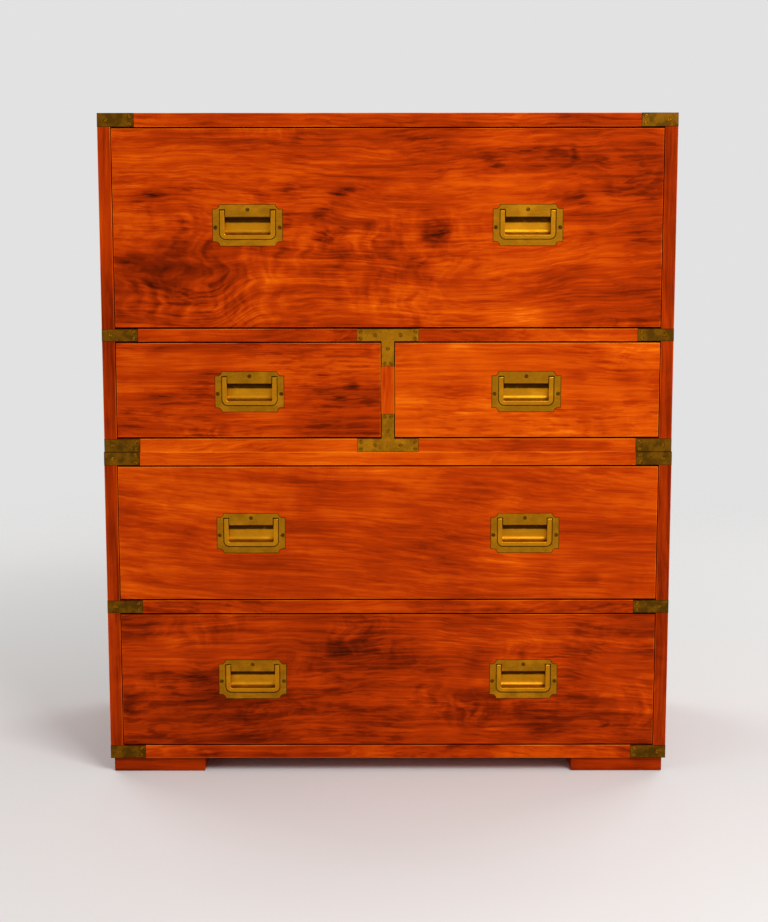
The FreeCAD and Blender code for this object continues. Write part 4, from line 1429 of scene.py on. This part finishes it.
def plate_master(edge):
    """The pull's plate with its channel, cup and countersunk holes."""
    plate = plate_outline("plate", 0.0, 0.0, PLATE_T)
    fuse(plate, casting(0.0, PLATE_T / 2))
    channel = u_block(BAIL_PLAY, -OVER, BAIL_T + BAIL_SINK + BAIL_PLAY, BAIL_TOP + BAIL_PLAY)
    bridge = CUP_HALF_W - 2 * FIT
    cut(channel, block("bridge", (-bridge, -2 * OVER, CUP_TOP + 2 * FIT),
                       (bridge, 2 * CUP_DEPTH, 2 * BAIL_TOP)))
    room = block("room", (-CUP_HALF_W, -2 * OVER, CUP_BOTTOM), (CUP_HALF_W, CUP_DEPTH, CUP_TOP))
    round_edges(room, lambda side: runs(side, X) and at(side, Y, CUP_DEPTH), CUP_ROUND, segments=10)
    cut(plate, fuse(channel, room))
    tidy_flats(plate)
    lines = outline_of(plate, lambda side: at(side, Y, 0))
    frame_flats(plate, [(Y, 0.0)], RIM_W)
    soften(plate, edge, also=lambda side: at(side, Y, 0))
    # The upper part of the cup takes the grime colour: a painted shadow under the plate's upper lip.
    for level in (CUP_SHADOW_LINE, CUP_SHADOW_LINE + CUP_SHADOW_FADE):
        open_with(plate, lambda face: all(in_cup(corner.co) for corner in face.verts), "FACE")
        bpy.ops.mesh.bisect(plane_co=(0, 0, level), plane_no=(0, 0, 1))
        close()
    sink(plate, screw_spots())
    lay_rim(plate, lines, RIM_W)
    for corner, mark in zip(plate.data.vertices, plate.data.attributes["rim"].data):
        if in_cup(corner.co):
            mark.value = min(mark.value, max(0.0, (CUP_SHADOW_LINE + CUP_SHADOW_FADE - corner.co.z) / CUP_SHADOW_FADE))
    return smooth(plate)


def away_from_bores(edge):
    """True for an edge that isn't the rim of a hinge pin's bore."""
    return any(math.hypot(corner.co.y - PIVOT_Y, corner.co.z - PIVOT_Z) > BORE_ZONE
               for corner in edge.verts)


def bail_master(edge):
    """A bail: two legs with round heads, and a bar with rounded corners."""
    half = BAIL_HALF_W + 2 * OVER
    bail = block("bail", (-half, BAIL_SINK, BAIL_BOTTOM - 2 * OVER), (half, BAIL_SINK + BAIL_T, BAIL_TOP))
    round_edges(bail, lambda side: runs(side, X) and at(side, Z, BAIL_TOP), BAIL_HEAD, segments=8)
    outline = u_block(0.0, -OVER, 2 * BAIL_T, 2 * BAIL_TOP)
    inner_half, bottom = BAIL_HALF_W - BAIL_LEG, BAIL_BOTTOM + BAIL_BAR
    room = block("room", (-inner_half, -2 * OVER, bottom), (inner_half, 3 * BAIL_T, 3 * BAIL_TOP))
    round_edges(room, lambda side: runs(side, Y) and at(side, Z, bottom), BAIL_INNER, segments=5)
    work(bail, cut(outline, room), "INTERSECT")
    cut(bail, *hinge_pins(PIN_PLAY, 4 * OVER))
    tidy_flats(bail)
    lines = outline_of(bail, away_from_bores)
    soften(bail, edge, segments=4, also=away_from_bores)
    lay_rim(bail, lines, RIM_W)
    return smooth(bail)


def pulls(drawer):
    """Each of a drawer's pulls: its hand, empty where the drawer has one pull, its bail and its place."""
    made = []
    for hand in ("",) if drawer.startswith("short") else ("_left", "_right"):
        bail = drawer + "_bail" + hand
        low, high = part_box(bail)
        made.append((hand, bail, Vector(((low.x + high.x) / 2, FACE_Y, high.z - BAIL_TOP))))
    return made


class CHEST_OT_plates(bpy.types.Operator):
    """Make the notched brass plates with their cups"""

    bl_idname = "chest.plates"
    bl_label = "Pull plates"

    def execute(self, context):
        master = plate_master(context.scene.chest_brass.plate_edge)
        for drawer in DRAWERS:
            for hand, _, place in pulls(drawer):
                piece = copy_of(master, drawer + "_plate" + hand, Matrix.Translation(place))
                hand_over(piece, drawer, metal("plate_metal"), "brass", drawer + "_pulls")
        discard(master)
        return {"FINISHED"}


class CHEST_OT_bails(bpy.types.Operator):
    """Make the drop handles that lie in the plates"""

    bl_idname = "chest.bails"
    bl_label = "Bails"

    def execute(self, context):
        master = bail_master(context.scene.chest_brass.bail_edge)
        for drawer in DRAWERS:
            for hand, bail, place in pulls(drawer):
                piece = copy_of(master, drawer + "_drop" + hand, Matrix.Translation(place))
                hand_over(piece, bail, metal("bail_metal"), "bail_brass", bail)
        discard(master)
        return {"FINISHED"}


class CHEST_OT_pull_fixings(bpy.types.Operator):
    """Make the screws and hinge pins of the pulls"""

    bl_idname = "chest.pull_fixings"
    bl_label = "Pull fixings"

    def execute(self, context):
        master = screw_master()
        count = 0
        for drawer in DRAWERS:
            pieces = []
            for _, _, place in pulls(drawer):
                carry = Matrix.Translation(place)
                for spot, outward in screw_spots():
                    way = facing(spot - outward * HEAD_SUNK, outward, TURN_STEP * count)
                    pieces.append(copy_of(master, "screw", carry @ way))
                    count += 1
                pieces += [moved(round_edges(pin, sharp, PIN_END), carry) for pin in hinge_pins()]
            piece = smooth(join(drawer + "_screws_and_pins", pieces))
            hand_over(piece, drawer, metal("pull_screw_metal"), "screw_brass", drawer + "_pull_fixings")
        discard(master)
        return {"FINISHED"}


# ---- drawers -----------------------------------------------------------------------------
class CHEST_OT_fronts(bpy.types.Operator):
    """Make the drawer fronts, cut for their pulls, dovetails and bottoms"""

    bl_idname = "chest.fronts"
    bl_label = "Drawer fronts"

    def execute(self, context):
        arris = context.scene.chest_wood.front_arris
        pocket = pull_pocket()
        for n, drawer in enumerate(DRAWERS):
            low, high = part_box(drawer + "_front")
            front = block(drawer + "_face_board", low, high)
            round_edges(front, lambda edge: at(edge, Y, low.y), arris)
            for _, _, place in pulls(drawer):
                cut(front, copy_of(pocket, "pocket", Matrix.Translation(place)))
            cut(front, node_tool(drawer + "_sides_and_back"), node_tool(drawer + "_bottom"))
            tidy_flats(front)
            lay_arris_sheen(front, FACE_Y, arris)
            hand_over(front, drawer, front_wood(drawer, FRONT_PLANK + n), "drawer_front_wood",
                      drawer + "_front")
        discard(pocket)
        return {"FINISHED"}


class CHEST_OT_inner_woodwork(bpy.types.Operator):
    """Finish the linings, bottoms, runners and panels that show when drawers are open"""

    bl_idname = "chest.inner_woodwork"
    bl_label = "Inner woodwork"

    def execute(self, context):
        grain = {"sides_and_back": "lining", "bottom": X, "runners": Y, "dust_panel": X, "drawer_stops": X,
                 "drawer_guide": Y, "locating_dowels": Z}
        timbers = {}
        for axis, letter in enumerate("xyz"):
            timbers[axis] = lining_wood("inner_timber_" + letter,
                                        lambda recipe: object_place(recipe, axis, LINING_PLANK + axis))
        timbers["lining"] = lining_wood("lining_timber", lining_place)
        for node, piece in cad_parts.items():
            for ending, kind in grain.items():
                if node.endswith(ending) and not piece.hide_render:
                    for slot in piece.material_slots:
                        slot.material = timbers[kind]
        return {"FINISHED"}


# ---- stage -------------------------------------------------------------------------------
def lamp(name, place, target, size, power):
    bpy.ops.object.light_add(type="AREA", location=place)
    made = bpy.context.object
    made.name = name
    made.data.shape = "SQUARE"
    made.data.size = size
    made.data.energy = power
    made.rotation_euler = (Vector(target) - Vector(place)).to_track_quat("-Z", "Y").to_euler()
    made.visible_camera = False


def camera(settings):
    turn = Euler((math.pi / 2 - settings.dip, 0, 0)).to_matrix() @ Matrix.Rotation(settings.roll, 3, "Z")
    place = (settings.aside, FACE_Y - settings.distance, settings.height)
    bpy.ops.object.camera_add(location=place, rotation=turn.to_euler())
    made = bpy.context.object
    made.name = "camera"
    made.data.lens = settings.lens
    made.data.sensor_width = SENSOR_W
    made.data.clip_end = SIGHT
    bpy.context.scene.camera = made


def room_light(settings):
    """Even light from all around; the camera, gloss and glass see the backdrop's colour instead."""
    world = bpy.data.worlds.new("room")
    bpy.context.scene.world = world
    world.use_nodes = True
    nodes, links = world.node_tree.nodes, world.node_tree.links
    light = nodes["Background"]
    light.inputs["Color"].default_value = (1, 1, 1, 1)
    light.inputs["Strength"].default_value = settings.sky
    seen = nodes.new("ShaderNodeBackground")
    seen.inputs["Color"].default_value = (*settings.backdrop, 1)
    ray = nodes.new("ShaderNodeLightPath")
    seeing = ray.outputs["Is Camera Ray"]
    for kind in ("Is Glossy Ray", "Is Transmission Ray"):
        either = nodes.new("ShaderNodeMath")
        either.use_clamp = True
        links.new(seeing, either.inputs[0])
        links.new(ray.outputs[kind], either.inputs[1])
        seeing = either.outputs[0]
    mix = nodes.new("ShaderNodeMixShader")
    links.new(seeing, mix.inputs[0])
    links.new(light.outputs[0], mix.inputs[1])
    links.new(seen.outputs[0], mix.inputs[2])
    links.new(mix.outputs[0], nodes["World Output"].inputs["Surface"])


def floor(settings):
    """A round floor that fades into the backdrop."""
    bpy.ops.mesh.primitive_circle_add(vertices=FLOOR_SIDES, radius=FLOOR_GONE, fill_type="NGON")
    made = bpy.context.object
    made.name = "floor"
    recipe = Recipe("floor")
    place = recipe.node("ShaderNodeTexCoord").outputs["Object"]
    away = recipe.spread(recipe.vector("LENGTH", place), FLOOR_FADES, FLOOR_GONE)
    grain = recipe.noise(place, (40.0, 40.0, 40.0), 3.0)
    darker = [part * 0.8 for part in settings.floor]
    recipe.put(recipe.shader.inputs["Base Color"],
               recipe.blend(recipe.times(grain, 0.04), settings.floor, darker))
    recipe.own(Roughness=0.7, Specular_IOR_Level=0.2)
    clear = recipe.node("ShaderNodeBsdfTransparent")
    mix = recipe.node("ShaderNodeMixShader", (away, recipe.shader.outputs[0], clear.outputs[0]))
    recipe.put(recipe.tree.nodes["Material Output"].inputs["Surface"], mix.outputs[0])
    made.data.materials.append(recipe.material)


class CHEST_OT_stage(bpy.types.Operator):
    """Set up the floor, lamps and camera"""

    bl_idname = "chest.stage"
    bl_label = "Stage"

    def execute(self, context):
        settings = context.scene.chest_stage
        bpy.ops.object.select_all(action="DESELECT")
        context.scene.view_settings.view_transform = "Standard"
        middle = (0, 0, CAD_BOX[1].z / 2)
        floor(settings)
        room_light(settings)
        for name, place, size, power in LAMPS:
            lamp(name, place, middle, size, getattr(settings, power))
        camera(settings)
        return {"FINISHED"}


# ---- the add-on --------------------------------------------------------------------------
STEPS = (CHEST_OT_straps, CHEST_OT_strap_screws, CHEST_OT_case_boards, CHEST_OT_rails, CHEST_OT_backs,
         CHEST_OT_feet, CHEST_OT_fronts, CHEST_OT_plates, CHEST_OT_bails, CHEST_OT_pull_fixings,
         CHEST_OT_inner_woodwork, CHEST_OT_stage)
SETTINGS = {"chest_wood": ChestWoodSettings, "chest_brass": ChestBrassSettings,
            "chest_stage": ChestStageSettings}


class CHEST_PT_panel(bpy.types.Panel):
    """Every step of the chest, in the order in which it is made"""

    bl_idname = "CHEST_PT_panel"
    bl_label = "Campaign chest"
    bl_space_type = "VIEW_3D"
    bl_region_type = "UI"
    bl_category = "Campaign chest"

    def draw(self, context):
        for name, group in SETTINGS.items():
            box = self.layout.box()
            for field in group.__annotations__:
                box.prop(getattr(context.scene, name), field)
        for step in STEPS:
            self.layout.operator(step.bl_idname)


def register():
    for group in SETTINGS.values():
        bpy.utils.register_class(group)
    for name, group in SETTINGS.items():
        setattr(bpy.types.Scene, name, PointerProperty(type=group))
    for kind in (*STEPS, CHEST_PT_panel):
        bpy.utils.register_class(kind)


def unregister():
    for kind in (CHEST_PT_panel, *reversed(STEPS)):
        bpy.utils.unregister_class(kind)
    for name, group in SETTINGS.items():
        delattr(bpy.types.Scene, name)
        bpy.utils.unregister_class(group)


def main():
    register()
    for step in STEPS:
        family, name = step.bl_idname.split(".")
        getattr(getattr(bpy.ops, family), name)()


if __name__ == "__main__":
    main()
